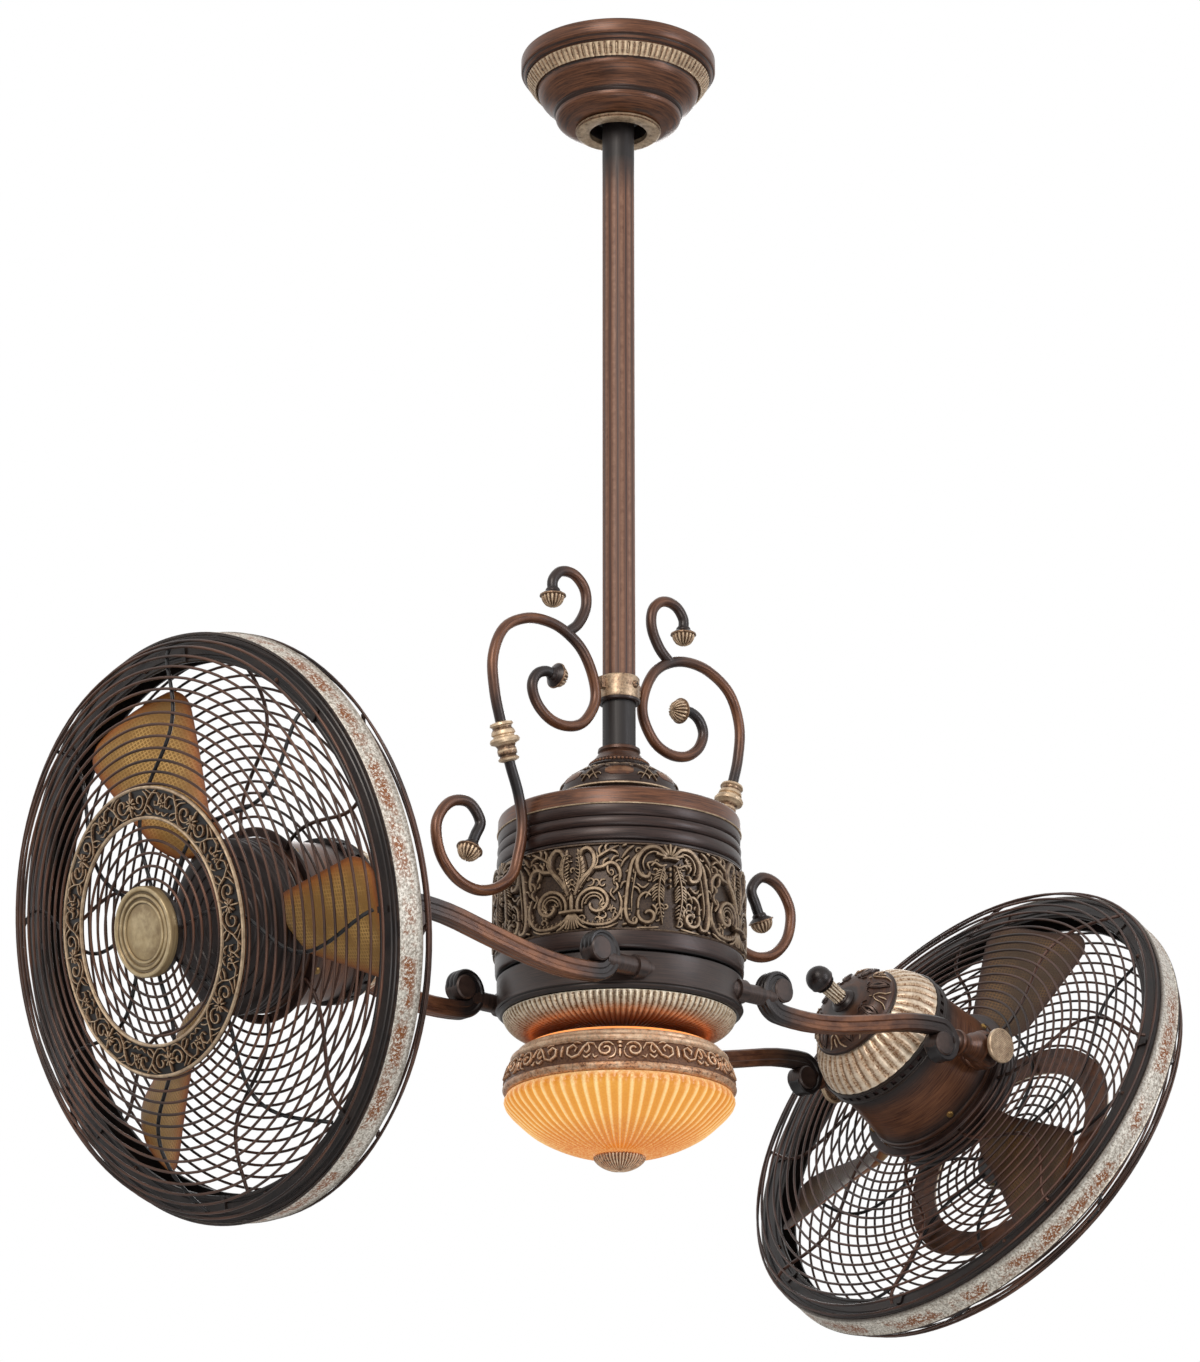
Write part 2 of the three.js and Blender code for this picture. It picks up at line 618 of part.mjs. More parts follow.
// rim with the web that holds the rear bearing
function ventRing() {
  const mid = VENT_BACK + VENT_W / 2;
  return turned([
    [AXLE_HOLE, mid - 2], [VENT_R - 4, mid - 2], [VENT_R - 4, VENT_BACK], [VENT_R, VENT_BACK],
    [VENT_R, DRUM_BACK - GAP], [VENT_R - 5, DRUM_BACK - GAP], [VENT_R - 5, mid + 2], [AXLE_HOLE, mid + 2],
  ], HEAD_ROUND);
}

// the drum narrows from the front to the back and carries the two pivot pads
function motorHousing() {
  const back = DRUM_R - 7;
  const drum = turned([
    [back, DRUM_BACK], [DRUM_R - 4.5, 4], [DRUM_R, 14], [DRUM_R, DRUM_FRONT],
    [DRUM_R - DRUM_WALL, DRUM_FRONT], [DRUM_R - DRUM_WALL - 1, 12], [back - DRUM_WALL, DRUM_BACK],
  ], HEAD_ROUND);
  const padOut = PIVOT_IN - GAP;
  const pads = [1, -1].map((side) => alongY(disc(12, PIN_IN - 4, padOut, SMALL_ROUND), side));
  const bores = [1, -1].map((side) => alongY(disc(PIN_R + GAP, PIN_IN - 1, padOut + 1, SMALL_ROUND), side));
  return cut(joined([drum, ...pads]), bores);
}

function rotorHub() {
  const back = DRUM_FRONT + 0.8;
  return turned([
    [0, VENT_BACK - 4], [AXLE_R, VENT_BACK - 4], [AXLE_R, -22], [ROTOR_R, -22], [ROTOR_R, 12],
    [20, 12], [20, HUB_FRONT - 12], [DRUM_R - 4, HUB_FRONT - 12], [DRUM_R - 4, back], [DRUM_R, back],
    [DRUM_R, HUB_FRONT - 4], [DRUM_R - 6, HUB_FRONT], [0, HUB_FRONT],
  ], HEAD_ROUND);
}

// a twisted paddle that widens from a narrow foot against the hub: rows of corners, two skins
function blade() {
  const root = DRUM_R * apothem(HEAD_ROUND) + GAP;
  const seat = (DRUM_FRONT + HUB_FRONT) / 2;
  const rows = 7;
  const across = 4;
  const corners = [];
  for (let i = 0; i < rows; i += 1) {
    const t = i / (rows - 1);
    const r = root + (BLADE_R - root) * t;
    const round = t > 0.75 ? Math.sqrt(1 - 0.7 * ((t - 0.75) / 0.25) ** 2) : 1;
    const foot = i === 0;
    const wide = BLADE_ROOT_HALF + (BLADE_TIP_HALF - BLADE_ROOT_HALF) * t;
    const half = foot ? BLADE_ROOT_HALF / 2 : wide * round;
    const station = foot ? seat : BLADE_STATION;
    const pitch = radians(BLADE_ROOT_PITCH + (BLADE_TIP_PITCH - BLADE_ROOT_PITCH) * t);
    for (const face of [1, -1]) {
      for (let j = 0; j < across; j += 1) {
        const chord = half * (2 * j / (across - 1) - 1);
        const camber = 5 * (1 - (chord / half) ** 2);
        const lift = camber + face * BLADE_T / 2;
        corners.push(
          r,
          chord * Math.cos(pitch) - lift * Math.sin(pitch),
          station + chord * Math.sin(pitch) + lift * Math.cos(pitch),
        );
      }
    }
  }
  const at = (i, face, j) => (i * 2 + face) * across + j;
  const faces = [];
  const quad = (a, b, c, d) => faces.push(a, b, c, a, c, d);
  for (let i = 0; i < rows - 1; i += 1) {
    for (let j = 0; j < across - 1; j += 1) {
      quad(at(i, 0, j), at(i + 1, 0, j), at(i + 1, 0, j + 1), at(i, 0, j + 1));
      quad(at(i, 1, j), at(i, 1, j + 1), at(i + 1, 1, j + 1), at(i + 1, 1, j));
    }
    quad(at(i, 0, 0), at(i, 1, 0), at(i + 1, 1, 0), at(i + 1, 0, 0));
    quad(at(i, 0, across - 1), at(i + 1, 0, across - 1), at(i + 1, 1, across - 1), at(i, 1, across - 1));
  }
  for (let j = 0; j < across - 1; j += 1) {
    quad(at(0, 0, j), at(0, 0, j + 1), at(0, 1, j + 1), at(0, 1, j));
    quad(at(rows - 1, 0, j), at(rows - 1, 1, j), at(rows - 1, 1, j + 1), at(rows - 1, 0, j + 1));
  }
  const geometry = new THREE.BufferGeometry();
  geometry.setAttribute('position', new THREE.Float32BufferAttribute(corners, 3));
  geometry.setIndex(faces);
  return skin(geometry);
}

function guardBand() {
  return ring(CAGE_R - CAGE_WALL, CAGE_R, CAGE_BACK, CAGE_BACK + CAGE_W, CAGE_ROUND);
}

// height of a guard's wires over its rim at a radius
const wireRise = (r, deep) => deep * (1 - (r / (CAGE_R - 5)) ** GUARD_POWER) ** (1 / GUARD_POWER);

// a guard: flat rim, concentric wires and swaying spokes; way is 1 for the front, -1 for the rear
function guard(way, deep, wireRadii, extra = []) {
  const rimOut = (CAGE_R - CAGE_WALL - GAP / apothem(CAGE_ROUND)) - 0.2;
  const rimIn = rimOut - RIM_W;
  const face = way > 0 ? CAGE_BACK + CAGE_W : CAGE_BACK;
  const rim = ring(rimIn, rimOut, ...(way > 0 ? [face - RIM_T, face] : [face, face + RIM_T]), CAGE_ROUND);
  const station = (r) => face + way * wireRise(r, deep);
  const wires = wireRadii.map((r) => turned([
    [r + WIRE_R, station(r)], [r - WIRE_R, station(r) + WIRE_R], [r - WIRE_R, station(r) - WIRE_R],
  ], WIRE_ROUND));
  const start = rimOut - 7;
  const end = wireRadii.at(-1);
  const spokes = Array.from({ length: SPOKES }, (_, k) => {
    const points = Array.from({ length: 9 }, (__, i) => {
      const t = i / 8;
      const r = start + (end - start) * t;
      const turn = radians(360 * (k + 0.5) / SPOKES + SPOKE_SWING * Math.sin(2 * Math.PI * t));
      const z = i === 0 ? face - way * RIM_T / 2 : station(r);
      return new THREE.Vector3(r * Math.cos(turn), r * Math.sin(turn), z);
    });
    return bentBar(points, WIRE_R, 3, 7);
  });
  return joined([rim, ...wires, ...spokes, ...extra]);
}

// flat ring that fixes the rear guard to the drum
function guardFoot() {
  const inner = bore(DRUM_R, WIRE_ROUND);
  const station = CAGE_BACK - wireRise(inner, GUARD_REAR_DEEP);
  return ring(inner, REAR_WIRES.at(-1) + 1, station - 1.5, station + 1.5, WIRE_ROUND);
}

const FRONT_WIRES = [172, 102, 31];
const REAR_WIRES = [152, DRUM_R + 6];
const FRONT_FACE = CAGE_BACK + CAGE_W + GUARD_FRONT_DEEP + WIRE_R + GAP;

// lies on the front guard's wires, a little lower at its outer edge
function filigreeRing() {
  const lying = (r) => CAGE_BACK + CAGE_W + wireRise(r, GUARD_FRONT_DEEP) + WIRE_R + GAP;
  const edges = [FILIGREE_R - FILIGREE_W, FILIGREE_R];
  const back = edges.map((r) => [r, lying(r)]);
  const front = edges.map((r) => [r, lying(r) + FILIGREE_T]).reverse();
  return turned([...back, ...front], WIRE_ROUND);
}

function medallion() {
  return turned([
    [0, FRONT_FACE], [MEDAL_R, FRONT_FACE], [MEDAL_R, FRONT_FACE + MEDAL_T - 2],
    [MEDAL_R - 3, FRONT_FACE + MEDAL_T], [0, FRONT_FACE + MEDAL_T],
  ], HEAD_ROUND);
}

// ---- assembly ------------------------------------------------------------------------------
const shaft = (outer, wall, low, high) => ring(outer - wall, outer, low, high, ROUND);
const collarTop = -CANOPY_H - GAP;

add(part, 'hanger_bracket', hangerBracket(), PLATED_STEEL());
add(part, 'hanger_ball', hangerBall(), DARK_BRONZE());
add(part, 'canopy', canopy(), WALNUT());
const collar = ring(COLLAR_HOLE_R, COLLAR_R, collarTop - COLLAR_H, collarTop, ROUND);
add(part, 'canopy_collar', collar, ANTIQUE_GOLD());
add(part, 'downrod', shaft(ROD_R, ROD_WALL, DECK_TOP + GAP, -BALL_DROP + BALL_R), WALNUT());
add(part, 'rod_collar', rodCollar(), ANTIQUE_GOLD());
add(part, 'scroll_right', scroll(1), COPPER_BROWN());
add(part, 'scroll_left', scroll(-1), COPPER_BROWN());
add(part, 'coupling_dome', couplingDome(), DARK_BRONZE());
add(part, 'housing_cap', housingCap(), WALNUT());
add(part, 'housing_shell', housingShell(), DARK_BRONZE());
add(part, 'scroll_band', scrollBand(), ANTIQUE_GOLD());
add(part, 'turning_motor', turningMotor(), PLATED_STEEL());
add(part, 'centre_shaft', shaft(SHAFT_R, SHAFT_WALL, SHAFT_BOTTOM, DECK_TOP + 14), PLATED_STEEL());
add(part, 'fitter_plate', fitterPlate(), PLATED_STEEL());
add(part, 'light_fitter', lightFitter(), ANTIQUE_GOLD());
add(part, 'glass_bowl', glassBowl(), AMBER_GLASS());
add(part, 'glass_finial', glassFinial(), ANTIQUE_GOLD());
for (const [side, word] of [[1, 'right'], [-1, 'left']]) {
  add(part, `lamp_socket_${word}`, lampSocket(side), PORCELAIN());
  add(part, `lamp_${word}`, lamp(side), LAMP_GLASS());
}
add(part, 'carrier_ring', carrierRing(), DARK_BRONZE());
add(part, 'under_pan', underPan(), ANTIQUE_SILVER());

for (const [side, word] of [[1, 'right'], [-1, 'left']]) {
  for (const [hand, place] of [[1, 'back'], [-1, 'front']]) {
    const mirrored = new THREE.Group();
    mirrored.scale.set(side, hand, 1);
    mirrored.position.set(0, hand * ARM_Y, PIVOT_Z);
    add(mirrored, `arm_${word}_${place}`, arm(), COPPER_BROWN());
    const screw = new THREE.Group();
    screw.position.set(side * REACH, 0, PIVOT_Z);
    screw.rotation.x = -hand * Math.PI / 2;
    add(screw, `tilt_knob_${word}_${place}`, tiltKnob(), ANTIQUE_GOLD());
    part.add(mirrored, screw);
  }

  const head = new THREE.Group();
  head.position.set(side * REACH, 0, PIVOT_Z);
  head.rotation.y = side * radians(90 + HEAD_TILT[word]);
  add(head, `rear_finial_${word}`, rearFinial(), DARK_BRONZE());
  add(head, `rear_cap_${word}`, rearCap(), DARK_BRONZE());
  add(head, `rear_shell_${word}`, rearShell(), ANTIQUE_SILVER());
  add(head, `vent_ring_${word}`, ventRing(), DARK_BRONZE());
  add(head, `motor_housing_${word}`, motorHousing(), COPPER_BROWN());
  add(head, `guard_band_${word}`, guardBand(), ANTIQUE_SILVER());
  add(head, `rear_guard_${word}`, guard(-1, GUARD_REAR_DEEP, REAR_WIRES, [guardFoot()]), WIRE_BROWN());
  add(head, `front_guard_${word}`, guard(1, GUARD_FRONT_DEEP, FRONT_WIRES), WIRE_BROWN());
  add(head, `filigree_ring_${word}`, filigreeRing(), ANTIQUE_GOLD());
  add(head, `medallion_${word}`, medallion(), ANTIQUE_GOLD());
  const rotor = new THREE.Group();
  rotor.rotation.z = radians(ROTOR_REST[word]);
  add(rotor, `rotor_hub_${word}`, rotorHub(), DARK_BRONZE());
  for (let k = 0; k < BLADE_COUNT; k += 1) {
    const paddle = add(rotor, `blade_${word}_${k + 1}`, blade(), BLADE_GOLD());
    paddle.rotation.z = (2 * Math.PI * k) / BLADE_COUNT;
  }
  head.add(rotor);
  part.add(head);
}

export default part;
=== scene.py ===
"""Twin head ceiling fan: the finished surfaces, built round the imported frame.

Lengths in this script are millimetres and become metres when a mesh is made. The origin is on
the ceiling, on the axis of the downrod. Each head is built along its own axis, +Z to the front,
with the tilt axis at z = 0, and is then set on its joint.
"""
import json
import math
import random

import bmesh
import bpy
import numpy as np
from mathutils import Matrix, Vector


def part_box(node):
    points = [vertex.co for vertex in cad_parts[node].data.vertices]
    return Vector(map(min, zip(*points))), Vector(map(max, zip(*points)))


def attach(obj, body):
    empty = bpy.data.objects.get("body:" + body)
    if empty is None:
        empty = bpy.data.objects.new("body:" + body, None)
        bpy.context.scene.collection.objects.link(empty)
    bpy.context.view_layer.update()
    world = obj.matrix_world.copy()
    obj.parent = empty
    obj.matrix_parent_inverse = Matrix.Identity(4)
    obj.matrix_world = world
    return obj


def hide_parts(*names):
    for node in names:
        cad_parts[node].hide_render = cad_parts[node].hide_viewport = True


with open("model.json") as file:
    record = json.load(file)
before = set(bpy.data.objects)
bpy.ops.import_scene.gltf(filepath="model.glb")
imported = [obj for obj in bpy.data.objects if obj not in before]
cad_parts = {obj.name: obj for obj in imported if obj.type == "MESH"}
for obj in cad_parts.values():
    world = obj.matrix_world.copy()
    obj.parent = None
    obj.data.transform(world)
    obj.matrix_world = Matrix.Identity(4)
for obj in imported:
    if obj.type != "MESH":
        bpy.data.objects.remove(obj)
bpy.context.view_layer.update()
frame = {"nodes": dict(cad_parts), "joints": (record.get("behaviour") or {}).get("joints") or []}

MM = 0.001
TURN = 2 * math.pi
PLAIN = 0.6  # crest on a surface that is neither hollow nor rubbed
CREASE = 38.0  # degrees past which an edge shows sharp
NEAR_SIDE = 228  # degrees round the column of the side that faces the photograph's camera
THREAD_PITCH = 3.0  # of the blades' woven print
ROOT_PITCH, TIP_PITCH = 30, 18  # degrees of the blades

# ---- driving dimensions, as on the solids
CANOPY_R = 87.5
CANOPY_H = 67.1
ROD_R = 14.3
SHELL_R = 103.9
BAND_OUT = 108.6
CARRIER_R = 103.6
PAN_R = 98.4
GLASS_R = 97.0
ARM_Y = 85.0
ARM_DEEP = 15.0
CURL_BACK = 59.0
SCROLL_BAR_R = 4.7
DRUM_R = 69.5
DRUM_BACK = -36.0
DRUM_FRONT = 38.0
VENT_BACK = -49.3
SHELL_BACK = -80.3
CAP_BACK = -100.3
HUB_FRONT = 60.0
BLADE_R = 199.0
CAGE_R = 231.0
CAGE_BACK = 58.0
CAGE_FRONT = 81.0
FRONT_DEEP = 52.0
REAR_DEEP = 29.5
GUARD_POWER = 2.6
REAR_POWER = 3.2
WIRE_R = 1.15
SPOKE_R = 1.6
WIRE_PITCH = 9.2
RIM_IN = 208.0
FILIGREE_R = 112.5
FILIGREE_W = 25.5
MEDAL_R = 35.5
MEDAL_BACK = 134.6
MEDAL_T = 9.0


def zed(node):
    """Lowest and highest z of a CAD node, in millimetres."""
    low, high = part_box(node)
    return low.z / MM, high.z / MM


JOINT = {joint["name"]: joint for joint in frame["joints"]}
DOME_LOW, DOME_TOP = zed("coupling_dome")
SHELL_LOW, SHELL_TOP = zed("housing_shell")
BAND_LOW, BAND_TOP = zed("scroll_band")
CARRIER_LOW, CARRIER_TOP = zed("carrier_ring")
PAN_LOW, PAN_TOP = zed("under_pan")
FITTER_LOW, FITTER_TOP = zed("light_fitter")
GLASS_LOW, GLASS_TOP = zed("glass_bowl")
PIVOT_Z = JOINT["head_tilt_right"]["pos_m"][2] / MM
REACH = JOINT["head_tilt_right"]["pos_m"][0] / MM

# ---- the photograph's view
FORWARD = Vector((0.6345, 0.7047, 0.3173)).normalized()
RIGHT = Vector((0.743, -0.669, 0.0)).normalized()
DISTANCE = 3.8793
AIM = Vector((0, 0, -0.590)) - 0.0164 * RIGHT
SENSOR = 36.0  # height of the sensor
FOCAL_PIXELS, PHOTO_PIXELS = 4500, 1362  # focal length and height of the photograph


def set_camera():
    lens = bpy.data.cameras.new("photo_view")
    lens.sensor_fit = "VERTICAL"
    lens.sensor_height = SENSOR
    lens.lens = SENSOR * FOCAL_PIXELS / PHOTO_PIXELS
    camera = bpy.data.objects.new("photo_view", lens)
    up = RIGHT.cross(FORWARD)
    turn = Matrix((RIGHT, up, -FORWARD)).transposed().to_4x4()
    camera.matrix_world = Matrix.Translation(AIM - DISTANCE * FORWARD) @ turn
    bpy.context.collection.objects.link(camera)
    bpy.context.scene.camera = camera


# ---- nodes and colours
def linear(code):
    """An sRGB hex colour as linear RGBA."""
    parts = [int(code[i:i + 2], 16) / 255 for i in (1, 3, 5)]
    return [c / 12.92 if c <= 0.04045 else ((c + 0.055) / 1.055) ** 2.4 for c in parts] + [1.0]


def put(tree, kind, inputs=None, **settings):
    """Adds a node, sets its properties, and links or sets its inputs."""
    node = tree.nodes.new(kind)
    for key, value in settings.items():
        setattr(node, key, value)
    for key, value in (inputs or {}).items():
        if isinstance(value, bpy.types.NodeSocket):
            tree.links.new(value, node.inputs[key])
        else:
            node.inputs[key].default_value = value
    return node


def blank_material(name):
    material = bpy.data.materials.new(name)
    material.use_nodes = True
    material.node_tree.nodes.clear()
    return material, material.node_tree


def close_material(material, tree, shader):
    put(tree, "ShaderNodeOutputMaterial", {"Surface": shader.outputs[0]})
    return material


def coat(tree, under, over, amount, span=None):
    """Lays one colour over another by an amount, or by how far the amount is along a span. A
    colour is a socket or an sRGB hex value."""
    under, over = [linear(c) if isinstance(c, str) else c for c in (under, over)]
    if span:
        amount = put(tree, "ShaderNodeMapRange", {
            "Value": amount, "From Min": span[0], "From Max": span[1]}).outputs[0]
    return put(tree, "ShaderNodeMix", {0: amount, 6: under, 7: over}, data_type="RGBA").outputs[2]


def rubbed_finish(name, body, streak, recess, crest, ends, metallic, roughness,
                  fleck=None, fleck_size=3.0, bump=0.25):
    """Lacquered metal, rubbed along its grain: streaks follow the piece's grain attribute. The
    crest attribute is 0 where dark glaze stays, 0.6 on plain surfaces and 1 where the coat is
    rubbed bright. The shade attribute fades the colour to that of the ends."""
    material, tree = blank_material(name)
    crest_at, shade_at = [put(tree, "ShaderNodeAttribute", attribute_name=name).outputs["Fac"]
                          for name in ("crest", "shade")]
    grain_at = put(tree, "ShaderNodeAttribute", attribute_name="grain").outputs["Vector"]
    place = put(tree, "ShaderNodeTexCoord").outputs["Object"]
    strokes, patches = [
        put(tree, "ShaderNodeTexNoise", {"Vector": vector, "Scale": scale, "Detail": detail,
                                         "Roughness": rough}).outputs["Fac"]
        for vector, scale, detail, rough in ((grain_at, 1.0, 6.0, 0.68), (place, 150.0, 4.0, 0.65))]
    colour = coat(tree, body, streak, strokes, (0.38, 0.62))
    if fleck:
        specks = put(tree, "ShaderNodeTexNoise", {"Vector": place, "Scale": 1000 / fleck_size,
                                                  "Detail": 2.0}).outputs["Fac"]
        colour = coat(tree, colour, fleck, specks, (0.50, 0.62))
    worn = put(tree, "ShaderNodeMath", {0: patches, 1: 0.7, 2: crest_at}, operation="MULTIPLY_ADD")
    colour = coat(tree, colour, crest, worn.outputs[0], (1.08, 1.44))
    colour = coat(tree, colour, recess, crest_at, (0.52, 0.04))
    colour = coat(tree, colour, ends, shade_at)
    rough = put(tree, "ShaderNodeMapRange", {"Value": strokes, "From Min": 0.3, "From Max": 0.7,
                                             "To Min": roughness - 0.07, "To Max": roughness + 0.1})
    relief = put(tree, "ShaderNodeBump", {"Height": strokes, "Strength": bump, "Distance": 0.0003})
    shader = put(tree, "ShaderNodeBsdfPrincipled", {
        "Base Color": colour, "Metallic": metallic, "Roughness": rough.outputs[0],
        "Normal": relief.outputs[0]})
    return close_material(material, tree, shader)


# each finish: name, body, streak, recess, crest, ends, metallic, roughness

# spun steel under walnut-brown lacquer, rubbed with dark wax: fine brown streaks, near-black edges
walnut = rubbed_finish("walnut_lacquer", "#3b2114", "#74482e", "#170e0b", "#8f6748", "#1b1311", 0.3,
                       0.35)
# the same lacquer over copper size on bars and drums: golden brown, slate-grey at the ends
copper = rubbed_finish("copper_brown_lacquer", "#49291b", "#7c4f33", "#21150f", "#a07350", "#1f1d1e",
                       0.3, 0.33)
# the same lacquer on the pipe, matt from hand rubbing: fine straight lines like wood grain
pipe_brown = rubbed_finish("hand_rubbed_pipe_lacquer", "#4c2c1d", "#724b36", "#2c1a12", "#8a6650",
                           "#150d0b", 0.1, 0.5)
# plum-brown bronze on the housing: dark, with brown streaks where it has been brushed
bronze = rubbed_finish("plum_bronze", "#1f1412", "#3b2822", "#0d0a0a", "#6b5245", "#141111", 0.3, 0.36)
# satin black over bronze on the carrier and the arms' ends: charcoal with a soft wide sheen
satin = rubbed_finish("satin_black", "#261c19", "#47362f", "#0c0a0a", "#5a463c", "#141110", 0.25, 0.38)
# cast zinc ornament, gilded and glazed: pale gold crests over brown-black hollows
gilded = rubbed_finish("gilded_relief", "#73553f", "#9e8064", "#150d09", "#d8bf9f", "#33261f", 0.45,
                       0.36, fleck="#4f3b2c", fleck_size=1.6)
# turned brass of the medallions, lacquered over fine rings: even pale bronze
turned_brass = rubbed_finish("turned_brass_lacquer", "#8a7556", "#a8926c", "#2c2018", "#c8b48e",
                             "#3d2d23", 0.5, 0.36)
# darker gilding of the housing's frieze: brown casting with beige edges
frieze = rubbed_finish("frieze_gilding", "#453326", "#5f4b3a", "#1a100b", "#a68f73", "#2a1d17", 0.35,
                       0.38, fleck="#382820", fleck_size=1.6)
# the same gilding, lighter and pinker as painted light of the lamp behind it: pinkish brown with pale
# edges
gilt_painted_lamplight = rubbed_finish("gilding_painted_lamplight", "#a26d47", "#c49068", "#3f2110", "#f0d4b4", "#7a4526", 0.35,
                          0.4, fleck="#6a452f", fleck_size=1.8)
# silver leaf over gold size on fluted shells: bright ribs speckled with brown; the orange-brown ends
# colour paints the lamps' glow on the pan and tints the heads' rear shells
leafed = rubbed_finish("silver_leaf", "#a58a68", "#dac8ae", "#3a2412", "#fdf0d8", "#86451c", 0.45, 0.36,
                       fleck="#7a5a3c", fleck_size=1.8)
# black-brown enamel on the pressed rims, lighter where the ridges are rubbed
enamel = rubbed_finish("black_enamel", "#1b1615", "#2e2420", "#0c0a0a", "#5a473c", "#100e0e", 0.2, 0.34)


def wire_finish(name, body, rubbed):
    """Enamelled steel wire, rubbed brown in stretches about 60 mm long."""
    material, tree = blank_material(name)
    place = put(tree, "ShaderNodeTexCoord").outputs["Object"]
    patches = put(tree, "ShaderNodeTexNoise", {"Vector": place, "Scale": 16.0, "Detail": 4.0})
    colour = coat(tree, body, rubbed, patches.outputs["Fac"], (0.35, 0.65))
    shader = put(tree, "ShaderNodeBsdfPrincipled", {"Base Color": colour, "Metallic": 0.3,
                                                    "Roughness": 0.38})
    return close_material(material, tree, shader)


brown_wire = wire_finish("brown_guard_wire", "#2c1d17", "#62402f")
dark_wire = wire_finish("rear_guard_wire", "#241712", "#553629")
black_wire = wire_finish("black_spoke_wire", "#131314", "#262223")


def crackled_silver():
    """Silver paint crackled over rust primer on the guard bands: off-white and grey grains,
    clusters of rust specks along the middle of the band, and painted shade: grey towards the rear edge."""
    material, tree = blank_material("crackled_silver")
    place = put(tree, "ShaderNodeTexCoord").outputs["Object"]
    middle_at, shade_at = [put(tree, "ShaderNodeAttribute", attribute_name=name).outputs["Fac"]
                           for name in ("crest", "shade")]
    grains, clusters = [
        put(tree, "ShaderNodeTexNoise", {"Vector": place, "Scale": scale, "Detail": detail,
                                         "Roughness": rough}).outputs["Fac"]
        for scale, detail, rough in ((480.0, 4.0, 0.75), (34.0, 5.0, 0.7))]
    cluster, speck = [
        put(tree, "ShaderNodeMapRange", {"Value": value, "From Min": low, "From Max": high}).outputs[0]
        for value, low, high in ((clusters, 0.45, 0.54), (grains, 0.58, 0.50))]
    gate = put(tree, "ShaderNodeMath", {0: cluster, 1: middle_at}, operation="MULTIPLY").outputs[0]
    rust = put(tree, "ShaderNodeMath", {0: gate, 1: speck}, operation="MULTIPLY").outputs[0]
    colour = coat(tree, "#857a6c", "#e4ded2", grains, (0.38, 0.60))
    colour = coat(tree, colour, "#80481a", rust)
    # painted shade: grey where the shade attribute is high
    colour = coat(tree, colour, "#4a3f38", shade_at)
    relief = put(tree, "ShaderNodeBump", {"Height": grains, "Strength": 0.3, "Distance": 0.0004})
    shader = put(tree, "ShaderNodeBsdfPrincipled", {"Base Color": colour, "Metallic": 0.25,
                                                    "Roughness": 0.5, "Normal": relief.outputs[0]})
    return close_material(material, tree, shader)


def blade_finish(name, cloth, thread, edge, tip):
    """Moulded blade with a woven print: two sets of threads 3 mm apart, drawn coarser than the
    real weave so that they show, and copper sprayed along the edges."""
    material, tree = blank_material(name)
    grain_at = put(tree, "ShaderNodeAttribute", attribute_name="grain").outputs["Vector"]
    edge_at = put(tree, "ShaderNodeAttribute", attribute_name="shade").outputs["Fac"]
    place = put(tree, "ShaderNodeTexCoord").outputs["Object"]
    axes = put(tree, "ShaderNodeSeparateXYZ", {"Vector": grain_at})
    lines = []
    for axis in (0, 1):
        wave = put(tree, "ShaderNodeMath", {0: axes.outputs[axis], 1: TURN / THREAD_PITCH},
                   operation="MULTIPLY")
        wave = put(tree, "ShaderNodeMath", {0: wave.outputs[0]}, operation="SINE")
        lines.append(wave.outputs[0])
    threads = put(tree, "ShaderNodeMath", {0: lines[0], 1: lines[1]}, operation="MAXIMUM").outputs[0]
    patches = put(tree, "ShaderNodeTexNoise", {"Vector": place, "Scale": 25.0,
                                               "Detail": 4.0}).outputs["Fac"]
    colour = coat(tree, cloth, thread, threads, (0.2, 1.0))
    colour = coat(tree, colour, cloth, patches, (0.62, 0.4))
    colour = coat(tree, colour, edge, edge_at, (0.0, 0.75))
    colour = coat(tree, colour, tip, edge_at, (0.7, 1.0))
    relief = put(tree, "ShaderNodeBump", {"Height": threads, "Strength": 0.2, "Distance": 0.0004})
    shader = put(tree, "ShaderNodeBsdfPrincipled", {"Base Color": colour, "Metallic": 0.15,
                                                    "Roughness": 0.45, "Normal": relief.outputs[0]})
    return close_material(material, tree, shader)


PAINTED_HOT_SIDE = (-0.669, -0.743, 0.0)  # painted hot spots of lamp light: the bowl's glow is painted brightest on this side and the opposite one
